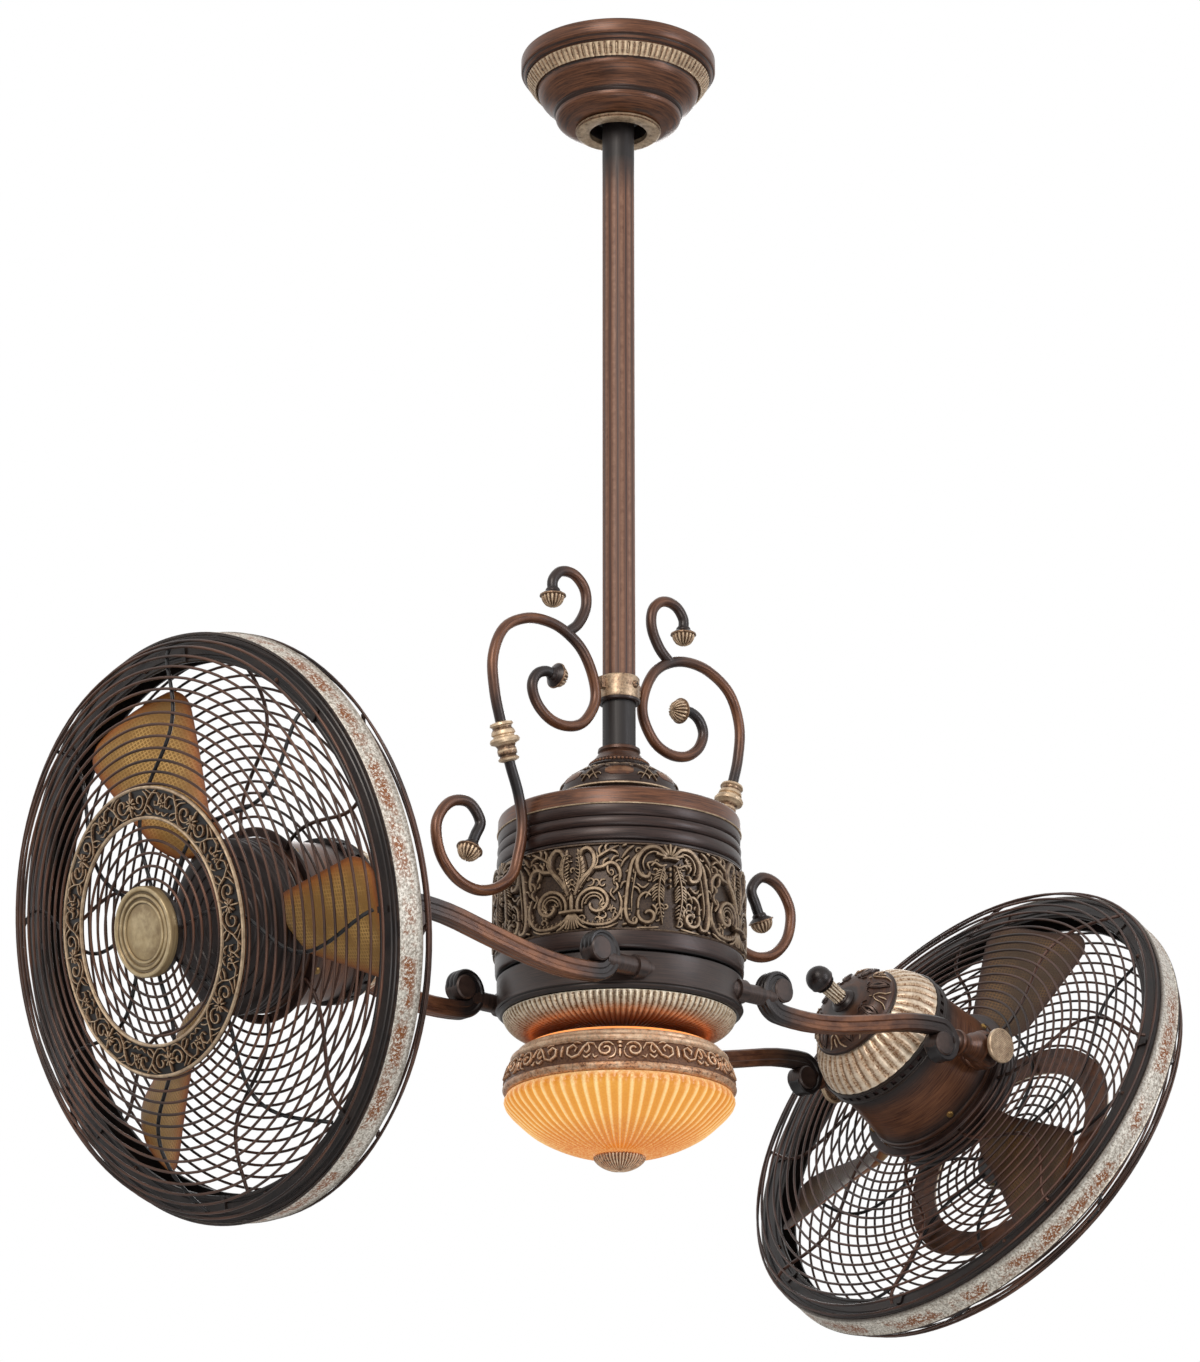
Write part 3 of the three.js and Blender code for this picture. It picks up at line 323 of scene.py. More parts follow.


def painted_glow_glass():
    """Amber scavo glass, pressed in flutes; the light of the lamps inside is painted in as its glow:
    pale yellow ribs on painted hot spots, orange hollows, a painted falloff to deeper orange, grainy,
    towards the rim and the foot."""
    material, tree = blank_material("amber_glass_painted_glow")
    crest_at, shade_at = [put(tree, "ShaderNodeAttribute", attribute_name=name).outputs["Fac"]
                          for name in ("crest", "shade")]
    place = put(tree, "ShaderNodeTexCoord").outputs["Object"]
    grains, clouds = [
        put(tree, "ShaderNodeTexNoise", {"Vector": place, "Scale": scale,
                                         "Detail": detail}).outputs["Fac"]
        for scale, detail in ((620.0, 3.0), (16.0, 2.0))]
    across = put(tree, "ShaderNodeVectorMath", {0: place, 1: PAINTED_HOT_SIDE},
                 operation="DOT_PRODUCT").outputs["Value"]
    beside = put(tree, "ShaderNodeMath", {0: across}, operation="ABSOLUTE").outputs[0]
    # painted hot spots of lamp light: paler glow on the bowl's side towards the camera and on the
    # opposite side
    painted_hot_spot, ribs, grit = [
        put(tree, "ShaderNodeMapRange", {"Value": value, "From Min": low, "From Max": high}).outputs[0]
        for value, low, high in ((beside, 0.03, 0.096), (crest_at, 0.40, 0.98), (grains, 0.30, 0.66))]
    far = coat(tree, "#df8a2a", "#ffd08a", ribs)
    near = coat(tree, "#f6b548", "#fff4b4", ribs)
    glow = coat(tree, far, near, painted_hot_spot)
    glow = coat(tree, glow, coat(tree, far, near, 0.5), clouds, (0.70, 0.40))
    speckle = put(tree, "ShaderNodeMath", {0: shade_at, 1: 0.8, 2: 0.25},
                  operation="MULTIPLY_ADD").outputs[0]
    frost = put(tree, "ShaderNodeMath", {0: speckle, 1: grit}, operation="MULTIPLY").outputs[0]
    # painted falloff of the glow: deeper orange towards the rim and the foot
    painted_glow_falloff = put(tree, "ShaderNodeMath", {0: shade_at, 1: 0.55}, operation="MULTIPLY").outputs[0]
    glow = coat(tree, glow, "#c4641c", frost)
    glow = coat(tree, glow, "#cc7430", painted_glow_falloff)
    shader = put(tree, "ShaderNodeBsdfPrincipled", {
        "Base Color": coat(tree, "#4a2208", "#7c4f26", crest_at),
        "Roughness": 0.3, "IOR": 1.5, "Emission Color": glow, "Emission Strength": 0.91})
    return close_material(material, tree, shader)


def lamp_glow():
    """Frosted bulb, lit: warm white, a little uneven."""
    material, tree = blank_material("lit_bulb")
    place = put(tree, "ShaderNodeTexCoord").outputs["Object"]
    clouds = put(tree, "ShaderNodeTexNoise", {"Vector": place, "Scale": 40.0}).outputs["Fac"]
    glow = coat(tree, "#fff2d8", "#ffc070", clouds)
    shader = put(tree, "ShaderNodeBsdfPrincipled", {
        "Base Color": linear("#fff0d8"), "Roughness": 0.4, "Emission Color": glow,
        "Emission Strength": 6.0})
    return close_material(material, tree, shader)


def plain_glow(name, colour, second, strength):
    """Translucent gasket with a painted glow: the orange line on top of the light's gallery."""
    material, tree = blank_material(name)
    place = put(tree, "ShaderNodeTexCoord").outputs["Object"]
    clouds = put(tree, "ShaderNodeTexNoise", {"Vector": place, "Scale": 25.0,
                                              "Detail": 2.0}).outputs["Fac"]
    glow = coat(tree, colour, second, clouds)
    # painted glow: stronger to every ray but the camera's, so that it also casts light round it
    path = put(tree, "ShaderNodeLightPath").outputs["Is Camera Ray"]
    power = put(tree, "ShaderNodeMapRange", {"Value": path, "To Min": strength,
                                             "To Max": 0.9}).outputs[0]
    shader = put(tree, "ShaderNodeBsdfPrincipled", {"Base Color": linear(colour), "Roughness": 0.5,
                                                    "Emission Color": glow, "Emission Strength": power})
    return close_material(material, tree, shader)


def plain_finish(name, colour, second, scale, metallic, roughness):
    """Cast or plated surface with a faint cloudiness."""
    material, tree = blank_material(name)
    place = put(tree, "ShaderNodeTexCoord").outputs["Object"]
    clouds = put(tree, "ShaderNodeTexNoise", {"Vector": place, "Scale": scale,
                                              "Detail": 4.0}).outputs["Fac"]
    mix = coat(tree, colour, second, clouds, (0.35, 0.65))
    relief = put(tree, "ShaderNodeBump", {"Height": clouds, "Strength": 0.1, "Distance": 0.0003})
    shader = put(tree, "ShaderNodeBsdfPrincipled", {"Base Color": mix, "Metallic": metallic,
                                                    "Roughness": roughness,
                                                    "Normal": relief.outputs[0]})
    return close_material(material, tree, shader)


silver = crackled_silver()
woven_gold = blade_finish("woven_gold_blade", "#9c733a", "#dcb068", "#a5622a", "#7c4420")
woven_dark = blade_finish("woven_dark_blade", "#4a3520", "#785630", "#452a1a", "#301d13")
amber = painted_glow_glass()
seal_painted_glow = plain_glow("painted_glow_seal", "#f08a3c", "#ffb878", 1.7)
bulb = lamp_glow()
zinc = plain_finish("zinc_plate", "#8d8f90", "#b4b5b3", 60, 0.9, 0.35)
porcelain = plain_finish("glazed_porcelain", "#e4ded2", "#efeae0", 30, 0.0, 0.25)
# dark red band behind the heads' vents: painted shade of the inside seen through them
vent_shade_red = plain_finish("painted_vent_shade", "#1c0b09", "#341410", 90, 0.0, 0.7)
brass = plain_finish("brass_screw", "#6b4f2c", "#94743f", 120, 0.7, 0.4)


# ---- shapes
def smooth(points, per=6):
    """Points along a centripetal curve through the given ones."""
    p = [np.array(q, float) for q in points]
    p = [2 * p[0] - p[1], *p, 2 * p[-1] - p[-2]]
    out = []
    for a, b, c, d in zip(p, p[1:], p[2:], p[3:]):
        t = [0.0]
        for m, n in ((a, b), (b, c), (c, d)):
            t.append(t[-1] + max(math.sqrt(np.linalg.norm(n - m)), 1e-6))
        for k in range(per):
            x = t[1] + (t[2] - t[1]) * k / per
            ab = (a * (t[1] - x) + b * (x - t[0])) / (t[1] - t[0])
            bc = (b * (t[2] - x) + c * (x - t[1])) / (t[2] - t[1])
            cd = (c * (t[3] - x) + d * (x - t[2])) / (t[3] - t[2])
            abc = (ab * (t[2] - x) + bc * (x - t[0])) / (t[2] - t[0])
            bcd = (bc * (t[3] - x) + cd * (x - t[1])) / (t[3] - t[1])
            out.append((abc * (t[2] - x) + bcd * (x - t[1])) / (t[2] - t[1]))
    out.append(p[-2])
    return [tuple(map(float, q)) for q in out]


def arc(cx, cy, radius, start, end, steps=8):
    """Points on a round, from start to end degrees."""
    turns = [math.radians(start + (end - start) * i / steps) for i in range(steps + 1)]
    return [(cx + radius * math.cos(a), cy + radius * math.sin(a)) for a in turns]


def coil(cx, cy, first, last, start, end, steps=14):
    """Points on a spiral whose radius goes from first to last."""
    out = []
    for i in range(steps + 1):
        t = i / steps
        a = math.radians(start + (end - start) * t)
        r = first + (last - first) * t
        out.append((cx + r * math.cos(a), cy + r * math.sin(a)))
    return out


def make(name, corners, faces, materials, crest=PLAIN, shade=0.0, grain=None, flute=None,
         face_material=None, crease=CREASE):
    """A mesh object from corners in millimetres, with the attributes that the finishes read."""
    corners = np.array(corners, float)
    mesh = bpy.data.meshes.new(name)
    mesh.from_pydata((corners * MM).tolist(), [], faces)
    count = len(corners)
    scalars = {"crest": crest, "shade": shade}
    if flute is not None:
        scalars["flute"] = flute
    for key, value in scalars.items():
        layer = mesh.attributes.new(key, "FLOAT", "POINT")
        layer.data.foreach_set("value", np.broadcast_to(np.array(value, np.float32), count).copy())
    layer = mesh.attributes.new("grain", "FLOAT_VECTOR", "POINT")
    grain = corners / 20 if grain is None else np.array(grain, float)
    layer.data.foreach_set("vector", grain.astype(np.float32).ravel())
    for material in materials if isinstance(materials, (list, tuple)) else [materials]:
        mesh.materials.append(material)
    if face_material is not None:
        mesh.polygons.foreach_set("material_index", face_material)
    mend = bmesh.new()
    mend.from_mesh(mesh)
    bmesh.ops.remove_doubles(mend, verts=mend.verts, dist=1e-6)
    bmesh.ops.recalc_face_normals(mend, faces=mend.faces)
    mend.to_mesh(mesh)
    mend.free()
    mesh.shade_smooth()
    mesh.set_sharp_from_angle(angle=math.radians(crease))
    obj = bpy.data.objects.new(name, mesh)
    bpy.context.collection.objects.link(obj)
    return obj


def per_point(value, points):
    """One value for each outline point: a number, a list, or a function of (radius, height)."""
    if callable(value):
        return [value(r, z) for r, z in points]
    if isinstance(value, (int, float)):
        return [value] * len(points)
    return list(value)


def turned(name, outline, sides, material, crest=PLAIN, shade=0.0, flute=None,
           streak=1.1, crease=CREASE):
    """A body turned about Z. The outline of (radius, height) ends on the axis or closes."""
    outline = [(float(r), float(z)) for r, z in outline]
    closed = outline[0][0] > 1e-6 or outline[-1][0] > 1e-6
    n = len(outline)
    angles = [TURN * j / sides for j in range(sides)]
    corners = [(r * math.cos(a), r * math.sin(a), z) for r, z in outline for a in angles]
    faces = []
    for i in range(n if closed else n - 1):
        low, high = i * sides, ((i + 1) % n) * sides
        for j in range(sides):
            k = (j + 1) % sides
            faces.append((low + j, low + k, high + k, high + j))
    spread = lambda values: np.repeat(per_point(values, outline), sides)
    grain = [(x / 26, y / 26, z * streak) for x, y, z in corners]
    return make(name, corners, faces, material, spread(crest), spread(shade), grain,
                None if flute is None else spread(flute), crease=crease)


def bar(name, path, radius, sides, material, shade=0.0, section=None, side=None,
        crest=PLAIN, crease=CREASE):
    """A bar swept along 3-D points. radius is a number or a function of the share of its length.
    A section of (along the normal, along side) points takes the place of the round one."""
    path = [Vector(p) for p in path]
    count = len(path)
    length = [0.0]
    for a, b in zip(path, path[1:]):
        length.append(length[-1] + (b - a).length)
    tangents = [(path[min(i + 1, count - 1)] - path[max(i - 1, 0)]).normalized() for i in range(count)]
    across = Vector(side) if side else tangents[0].orthogonal().normalized()
    rings = section or [(math.cos(TURN * k / sides), math.sin(TURN * k / sides)) for k in range(sides)]
    sides = len(rings)
    corners, shades, grains = [], [], []
    for i, (p, t) in enumerate(zip(path, tangents)):
        share = length[i] / length[-1]
        across = (across - t * across.dot(t)).normalized()
        normal = across.cross(t)
        size = radius(share) if callable(radius) else radius
        for a, b in rings:
            scale = (size, 1.0) if section else (size, size)
            corners.append(p + normal * (a * scale[0]) + across * (b * scale[1]))
            shades.append(shade(share) if callable(shade) else shade)
            grains.append((a * 2.3 * (0.2 if section else 1), b * 2.3 * (0.2 if section else 1),
                           length[i] / 26))
    faces = [tuple(range(sides)), tuple(range((count - 1) * sides, count * sides))]
    for i in range(count - 1):
        for k in range(sides):
            m = (k + 1) % sides
            faces.append((i * sides + k, i * sides + m, (i + 1) * sides + m, (i + 1) * sides + k))
    return make(name, corners, faces, material, crest, shades, grains, crease=crease)


def lay(obj, matrix):
    """Moves the mesh of a piece made in millimetres by a matrix in millimetres."""
    scaled = matrix.copy()
    scaled.translation = matrix.translation * MM
    obj.data.transform(scaled)
    if matrix.to_3x3().determinant() < 0:
        obj.data.flip_normals()
    return obj


def rotation(degrees, axis="Z"):
    return Matrix.Rotation(math.radians(degrees), 4, axis)


def moved(x, y, z):
    return Matrix.Translation((x, y, z))


def join(name, parts):
    """Joins the parts into one piece."""
    bpy.ops.object.select_all(action="DESELECT")
    for part in parts:
        part.select_set(True)
    bpy.context.view_layer.objects.active = parts[0]
    if len(parts) > 1:
        bpy.ops.object.join()
    parts[0].name = name
    parts[0].data.name = name
    return parts[0]


def settle(node, parts, body, place=None):
    """The finished piece of a CAD node: its parts are set in their place and ride on a body."""
    if place is not None:
        for part in parts:
            lay(part, place)
    piece = join(f"{node}_finished", parts)
    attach(piece, body)
    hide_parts(node)


# ---- geometry node trees
def new_tree(name, sockets):
    """A geometry node group with a geometry input and output and the named inputs."""
    tree = bpy.data.node_groups.new(name, "GeometryNodeTree")
    tree.interface.new_socket("Geometry", in_out="INPUT", socket_type="NodeSocketGeometry")
    for label, kind in sockets:
        tree.interface.new_socket(label, in_out="INPUT", socket_type=kind)
    tree.interface.new_socket("Geometry", in_out="OUTPUT", socket_type="NodeSocketGeometry")
    return tree, tree.nodes.new("NodeGroupInput").outputs


def end_tree(tree, geometry, material):
    """Ends a tree in Realize Instances and Set Material."""
    real = put(tree, "GeometryNodeRealizeInstances", {"Geometry": geometry})
    finished = put(tree, "GeometryNodeSetMaterial", {"Geometry": real.outputs[0], "Material": material})
    put(tree, "NodeGroupOutput", {"Geometry": finished.outputs[0]})
    return tree


def copies_round(tree, geometry, count):
    """Instances of the geometry, turned evenly about Z."""
    points = put(tree, "GeometryNodePoints", {"Count": count}).outputs[0]
    index = put(tree, "GeometryNodeInputIndex").outputs[0]
    step = put(tree, "ShaderNodeMath", {0: TURN, 1: count}, operation="DIVIDE").outputs[0]
    angle = put(tree, "ShaderNodeMath", {0: index, 1: step}, operation="MULTIPLY").outputs[0]
    turn = put(tree, "ShaderNodeCombineXYZ", {"Z": angle}).outputs[0]
    return put(tree, "GeometryNodeInstanceOnPoints", {
        "Points": points, "Instance": geometry, "Rotation": turn}).outputs[0]


def round_tree():
    """Repeats a motif round the axis."""
    tree, given = new_tree("repeat_round_axis", [("Count", "NodeSocketInt"),
        ("Material", "NodeSocketMaterial")])
    return end_tree(tree, copies_round(tree, given["Geometry"], given["Count"]), given["Material"])


def wire_ring_tree():
    """A hoop of wire for each loose point: its x is the hoop's radius and its z the height."""
    tree, given = new_tree("wire_hoops", [("Wire Radius", "NodeSocketFloat"), ("Sides", "NodeSocketInt"),
                                          ("Steps", "NodeSocketInt"), ("Material",
                                              "NodeSocketMaterial")])
    where = put(tree, "ShaderNodeSeparateXYZ", {"Vector": put(tree,
        "GeometryNodeInputPosition").outputs[0]})
    radius, height = where.outputs[0], where.outputs[2]
    size = put(tree, "ShaderNodeCombineXYZ", {"X": radius, "Y": radius, "Z": 1.0}).outputs[0]
    centre = put(tree, "ShaderNodeCombineXYZ", {"Z": height}).outputs[0]
    points = put(tree, "GeometryNodeMeshToPoints", {"Mesh": given["Geometry"]}).outputs[0]
    hoop = put(tree, "GeometryNodeCurvePrimitiveCircle", {"Resolution": given["Steps"], "Radius": 1.0})
    section = put(tree, "GeometryNodeCurvePrimitiveCircle", {"Resolution": given["Sides"],
                                                             "Radius": given["Wire Radius"]})
    hoops = put(tree, "GeometryNodeInstanceOnPoints", {"Points": points, "Instance": hoop.outputs[0],
                                                       "Scale": size}).outputs[0]
    centred = put(tree, "GeometryNodeSetPosition", {"Geometry": hoops, "Position": centre}).outputs[0]
    real = put(tree, "GeometryNodeRealizeInstances", {"Geometry": centred}).outputs[0]
    wires = put(tree, "GeometryNodeCurveToMesh", {"Curve": real,
                                                  "Profile Curve": section.outputs[0]}).outputs[0]
    return end_tree(tree, wires, given["Material"])


def spoke_tree():
    """Bends a wire along a chain of edges and repeats it round the axis."""
    tree, given = new_tree("wire_spokes", [("Wire Radius", "NodeSocketFloat"),
        ("Sides", "NodeSocketInt"),
                                           ("Count", "NodeSocketInt"), ("Material",
                                               "NodeSocketMaterial")])
    line = put(tree, "GeometryNodeMeshToCurve", {"Mesh": given["Geometry"]}).outputs[0]
    section = put(tree, "GeometryNodeCurvePrimitiveCircle", {"Resolution": given["Sides"],
                                                             "Radius": given["Wire Radius"]})
    wire = put(tree, "GeometryNodeCurveToMesh", {"Curve": line, "Profile Curve": section.outputs[0],
                                                 "Fill Caps": True}).outputs[0]
    return end_tree(tree, copies_round(tree, wire, given["Count"]), given["Material"])


def flute_tree():
    """Presses flutes into a turned skin where its flute attribute says so. Pairing makes every
    second hollow shallower. The crest attribute follows the ribs."""
    tree, given = new_tree("pressed_flutes", [("Count", "NodeSocketInt"), ("Depth", "NodeSocketFloat"),
                                              ("Pairing", "NodeSocketFloat"),
                                              ("Narrowing", "NodeSocketFloat"),
                                              ("Material", "NodeSocketMaterial")])
    where = put(tree, "ShaderNodeSeparateXYZ", {"Vector": put(tree,
        "GeometryNodeInputPosition").outputs[0]})
    mask = put(tree, "GeometryNodeInputNamedAttribute", {"Name": "flute"}, data_type="FLOAT").outputs[0]
    before = put(tree, "GeometryNodeInputNamedAttribute", {"Name": "crest"},
                 data_type="FLOAT").outputs[0]
    known = {"x": where.outputs[0], "y": where.outputs[1], "mask": mask, "crest before": before,
             **{label: given[label] for label in ("Count", "Depth", "Pairing", "Narrowing")}}
    for result, operation, *values in (
            ("angle", "ARCTAN2", "y", "x"),
            ("flutes passed", "MULTIPLY", "angle", "Count"),
            ("phase", "MULTIPLY", "flutes passed", 0.5),
            ("wave", "COSINE", "phase"),
            ("ridge", "ABSOLUTE", "wave"),
            ("rib", "POWER", "ridge", "Narrowing"),
            ("half phase", "MULTIPLY", "phase", 0.5),
            ("pair phase", "ADD", "half phase", math.pi / 4),
            ("pair wave", "COSINE", "pair phase"),
            ("parity", "ABSOLUTE", "pair wave"),
            ("held back", "MULTIPLY", "Pairing", "parity"),
            ("keep", "SUBTRACT", 1.0, "held back"),
            ("hollow", "SUBTRACT", "rib", 1.0),
            ("paired hollow", "MULTIPLY", "hollow", "keep"),
            ("drop", "MULTIPLY", "paired hollow", "mask"),
            ("push", "MULTIPLY", "drop", "Depth"),
            ("crest", "ADD", "crest before", "drop")):
        inputs = {i: known.get(value, value) for i, value in enumerate(values)}
        known[result] = put(tree, "ShaderNodeMath", inputs, operation=operation).outputs[0]
    normal = put(tree, "GeometryNodeInputNormal").outputs[0]
    offset = put(tree, "ShaderNodeVectorMath", {0: normal, "Scale": known["push"]}, operation="SCALE")
    kept = put(tree, "GeometryNodeStoreNamedAttribute", {
        "Geometry": given["Geometry"], "Name": "crest", "Value": known["crest"]}, data_type="FLOAT",
        domain="POINT")
    moved = put(tree, "GeometryNodeSetPosition", {"Geometry": kept.outputs[0],
                                                  "Offset": offset.outputs[0]})
    return end_tree(tree, moved.outputs[0], given["Material"])


ROUND_TREE = round_tree()
HOOP_TREE = wire_ring_tree()
SPOKE_TREE = spoke_tree()
FLUTE_TREE = flute_tree()


def grown(obj, tree, **values):
    """Runs a geometry node tree on the object and keeps the result as its plain mesh."""
    names = {key.replace("_", " ").title(): value for key, value in values.items()}
    modifier = obj.modifiers.new(tree.name, "NODES")
    modifier.node_group = tree
    for item in tree.interface.items_tree:
        if item.in_out == "INPUT" and item.name in names:
            modifier[item.identifier] = names[item.name]
    obj.update_tag()
    graph = bpy.context.evaluated_depsgraph_get()
    mesh = bpy.data.meshes.new_from_object(obj.evaluated_get(graph))
    obj.modifiers.clear()
    obj.data = mesh
    mesh.shade_smooth()
    return obj


def repeated(obj, count):
    """The piece repeated evenly round the axis."""
    grown(obj, ROUND_TREE, count=count, material=obj.data.materials[0])
    obj.data.set_sharp_from_angle(angle=math.radians(CREASE))
    return obj


def fluted(obj, count, depth, pairing=0.0, narrowing=0.7):
    """Flutes on a turned piece. Narrowing above 1 leaves thin ribs between wide hollows."""
    return grown(obj, FLUTE_TREE, count=count, depth=depth * MM, pairing=pairing, narrowing=narrowing,
                 material=obj.data.materials[0])


def chain(name, points, edges=()):
    """Loose points in millimetres, joined by edges where any are given."""
    mesh = bpy.data.meshes.new(name)
    mesh.from_pydata([(x * MM, y * MM, z * MM) for x, y, z in points], list(edges), [])
    obj = bpy.data.objects.new(name, mesh)
    bpy.context.collection.objects.link(obj)
    return obj


def hoops(name, stations, radius, material, steps=96, sides=7):
    """Wire hoops at (radius, station)."""
    return grown(chain(name, [(r, 0, z) for r, z in stations]), HOOP_TREE, wire_radius=radius * MM,
                 sides=sides, steps=steps, material=material)


def spokes(name, path, radius, count, material, sides=7):
    """A bent wire along the path, repeated round the axis."""
    line = chain(name, path, [(i, i + 1) for i in range(len(path) - 1)])
    return grown(line, SPOKE_TREE, wire_radius=radius * MM, sides=sides, count=count, material=material)


# ---- carved relief
def on_profile(profile, radius):
    """A surface of revolution for relief: u runs round it at the given radius, v along the
    profile from its first point, h out of it. The profile is seen from outside, upwards."""
    marks = [0.0]
    for (r0, z0), (r1, z1) in zip(profile, profile[1:]):
        marks.append(marks[-1] + math.hypot(r1 - r0, z1 - z0))

    def place(u, v, h):
        k = 0
        while k < len(marks) - 2 and v > marks[k + 1]:
            k += 1
        (r0, z0), (r1, z1) = profile[k], profile[k + 1]
        span = marks[k + 1] - marks[k]
        t = (v - marks[k]) / span
        r = r0 + (r1 - r0) * t + h * (z1 - z0) / span
        z = z0 + (z1 - z0) * t - h * (r1 - r0) / span
        return r * math.cos(u / radius), r * math.sin(u / radius), z
    return place


SECTION = [(-1.0, -0.25), (-0.8, 0.55), (-0.35, 0.95), (0.35, 0.95), (0.8, 0.55), (1.0, -0.25)]


def strands(name, lines, place, material, broad=1.0):
    """Half-round strands laid on a surface. Each line is (points, width, height, start, end);
    start and end are its width there as a share of the full width, and broad widens them all."""
    corners, faces, crests = [], [], []
    m = len(SECTION)
    for points, width, height, start, end in lines:
        path = np.array(smooth(points, 3) if len(points) < 10 else points, float)
        count = len(path)
        base = len(corners)
        for i, p in enumerate(path):
            t = i / (count - 1)
            way = path[min(i + 1, count - 1)] - path[max(i - 1, 0)]
            way = way / max(np.linalg.norm(way), 1e-9)
            full = math.sin(math.pi * min(max(t, 0), 1)) ** 0.35
            size = (start + (end - start) * t) + (1 - (start + (end - start) * t)) * full * 0.999
            size = max(size if max(start, end) < 1 else start + (end - start) * t, 0.12)
            for a, b in SECTION:
                off = a * width * broad / 2 * size
                rise = b * height * (0.45 + 0.55 * size) if b > 0 else b * 2
                corners.append(place(p[0] - way[1] * off, p[1] + way[0] * off, rise))
                crests.append(0.05 + 0.95 * max(b, 0) ** 1.5)
        for i in range(count - 1):
            for k in range(m):
                n = (k + 1) % m
                q = base + i * m
                faces.append((q + k, q + n, q + m + n, q + m + k))
        faces.append(tuple(base + k for k in range(m)))
        faces.append(tuple(base + (count - 1) * m + k for k in range(m)))
    return make(name, corners, faces, material, crest=crests)


def mirrored(lines):
    """The lines and their mirror images about u = 0."""
    return lines + [([(-p[0], p[1]) for p in points], *rest) for points, *rest in lines]


def shifted(lines, du, dv=0.0, scale=1.0):
    return [([(p[0] * scale + du, p[1] * scale + dv) for p in points], w * scale, h, a, b)
            for points, w, h, a, b in lines]


def feather(stem, width, height, reach, count, first=0.12, swing=0.5):
    """A stem with barbs on both sides, longest in the middle."""
    path = np.array(smooth(stem, 6))
    lines = [(stem, width, height, 0.7, 0.3)]
    for i in range(count):
        t = first + (1 - first) * i / count
        k = min(int(t * (len(path) - 1)), len(path) - 2)
        p, q = path[k], path[k + 1]
        way = (q - p) / max(np.linalg.norm(q - p), 1e-9)
        size = reach * math.sin(math.pi * (0.12 + 0.88 * t)) ** 0.6
        for hand in (-1, 1):
            side = np.array((-way[1], way[0])) * hand
            mid = p + side * size * 0.5 + way * size * swing * 0.35
            tip = p + side * size + way * size * swing * 1.2
            lines.append(([tuple(p), tuple(mid), tuple(tip)], width * 0.85, height * 0.8, 0.9, 0.25))
    return lines


def fan(cx, cy, inner, outer, start, end, count, width, height):
    """Petals that spread from a point."""
    lines = []
    for i in range(count):
        a = math.radians(start + (end - start) * i / (count - 1))
        near = (cx + inner * math.cos(a), cy + inner * math.sin(a))
        far = (cx + outer * math.cos(a), cy + outer * math.sin(a))
        mid = ((near[0] + far[0]) / 2, (near[1] + far[1]) / 2)
        lines.append(([near, mid, far], width, height, 0.5, 0.8))
    return lines


def lily_motif():
    """Fleur-de-lis with two volutes under it, 83 mm wide and 73 mm high."""
    half = [
        (coil(20, 22, 16, 4, 205, -185, 24), 4.4, 5.2, 0.8, 0.5),
        (coil(20, 22, 11.6, 5, 200, -50, 16), 2.6, 4.4, 0.6, 0.4),
        (coil(20, 22, 8.2, 4, 180, 0, 10), 2.2, 4.0, 0.5, 0.3),
        ([(3, 30), (6, 38), (11, 45), (16, 50), (19, 56), (18.5, 64), (14, 69.5), (9, 68), (7.5, 63)],
         5.0, 5.4, 0.8, 0.5),
        ([(5.5, 34), (12, 43), (17.5, 50), (21.8, 57), (21, 66)], 1.8, 4.8, 0.6, 0.4),
        ([(1.5, 27), (5, 38), (9, 50), (8, 60), (4.5, 70)], 7.4, 3.0, 0.4, 0.2),
        ([(19, 52), (26, 53), (32, 56), (37, 54), (40, 47), (39, 39)], 4.4, 5.0, 0.8, 0.5),
        ([(20, 60), (26, 64), (33, 68), (39, 71)], 3.2, 4.6, 0.8, 0.4),
        ([(4, 11), (12, 5.5), (22, 3.4), (32, 5), (39, 12), (41, 22), (38.5, 31)], 3.8, 4.4, 0.6, 0.5),
        ([(20, 0.8), (30, 1.2), (38, 5)], 2.6, 3.2, 0.5, 0.4),
    ]
    for tip in ([(26, 53), (27, 58), (31, 61)], [(32, 56), (35, 61), (39, 62)],
                [(39, 46), (35, 43), (35, 39)],
                [(30, 55), (30, 49), (33, 45)], [(24, 63), (23, 68), (26, 72)],
                [(29, 66), (28, 70), (31, 73)],
                [(31, 67), (36, 66), (39, 63)], [(34, 30), (38, 35), (36, 40)],
                [(36, 24), (32, 30), (34, 35)],
                [(3, 9), (9, 3), (14, 0.8)]):
        half.append((tip, 2.9, 4.2, 0.8, 0.3))
    half += [([(x, y), (x - 0.6, y + 3.4)], 2.2, 3.8, 0.8, 0.4)
             for x, y in ((10, 6.6), (14, 5), (18, 4), (22, 3.6), (26, 4), (30, 5), (34, 7.4),
                          (37.5, 11))]
    half += fan(22, 19, 1.0, 7.4, -80, 60, 5, 2.4, 4.2)
    lines = mirrored(half)
    for hand in (-1, 1):
        lines += feather([(hand * 2, 30), (hand * 7.4, 48), (hand * 5, 68)], 1.8, 4.8, 5.0, 11)
    lines += fan(0, 17, 3, 16, 230, 310, 9, 2.6, 3.8)
    lines += [([(-10, 15.5), (0, 16.2), (10, 15.5)], 3.6, 6.4, 1.0, 1.0),
              ([(0, 17), (0, 24), (0, 31)], 5.0, 5.0, 0.9, 0.5)]
    return lines


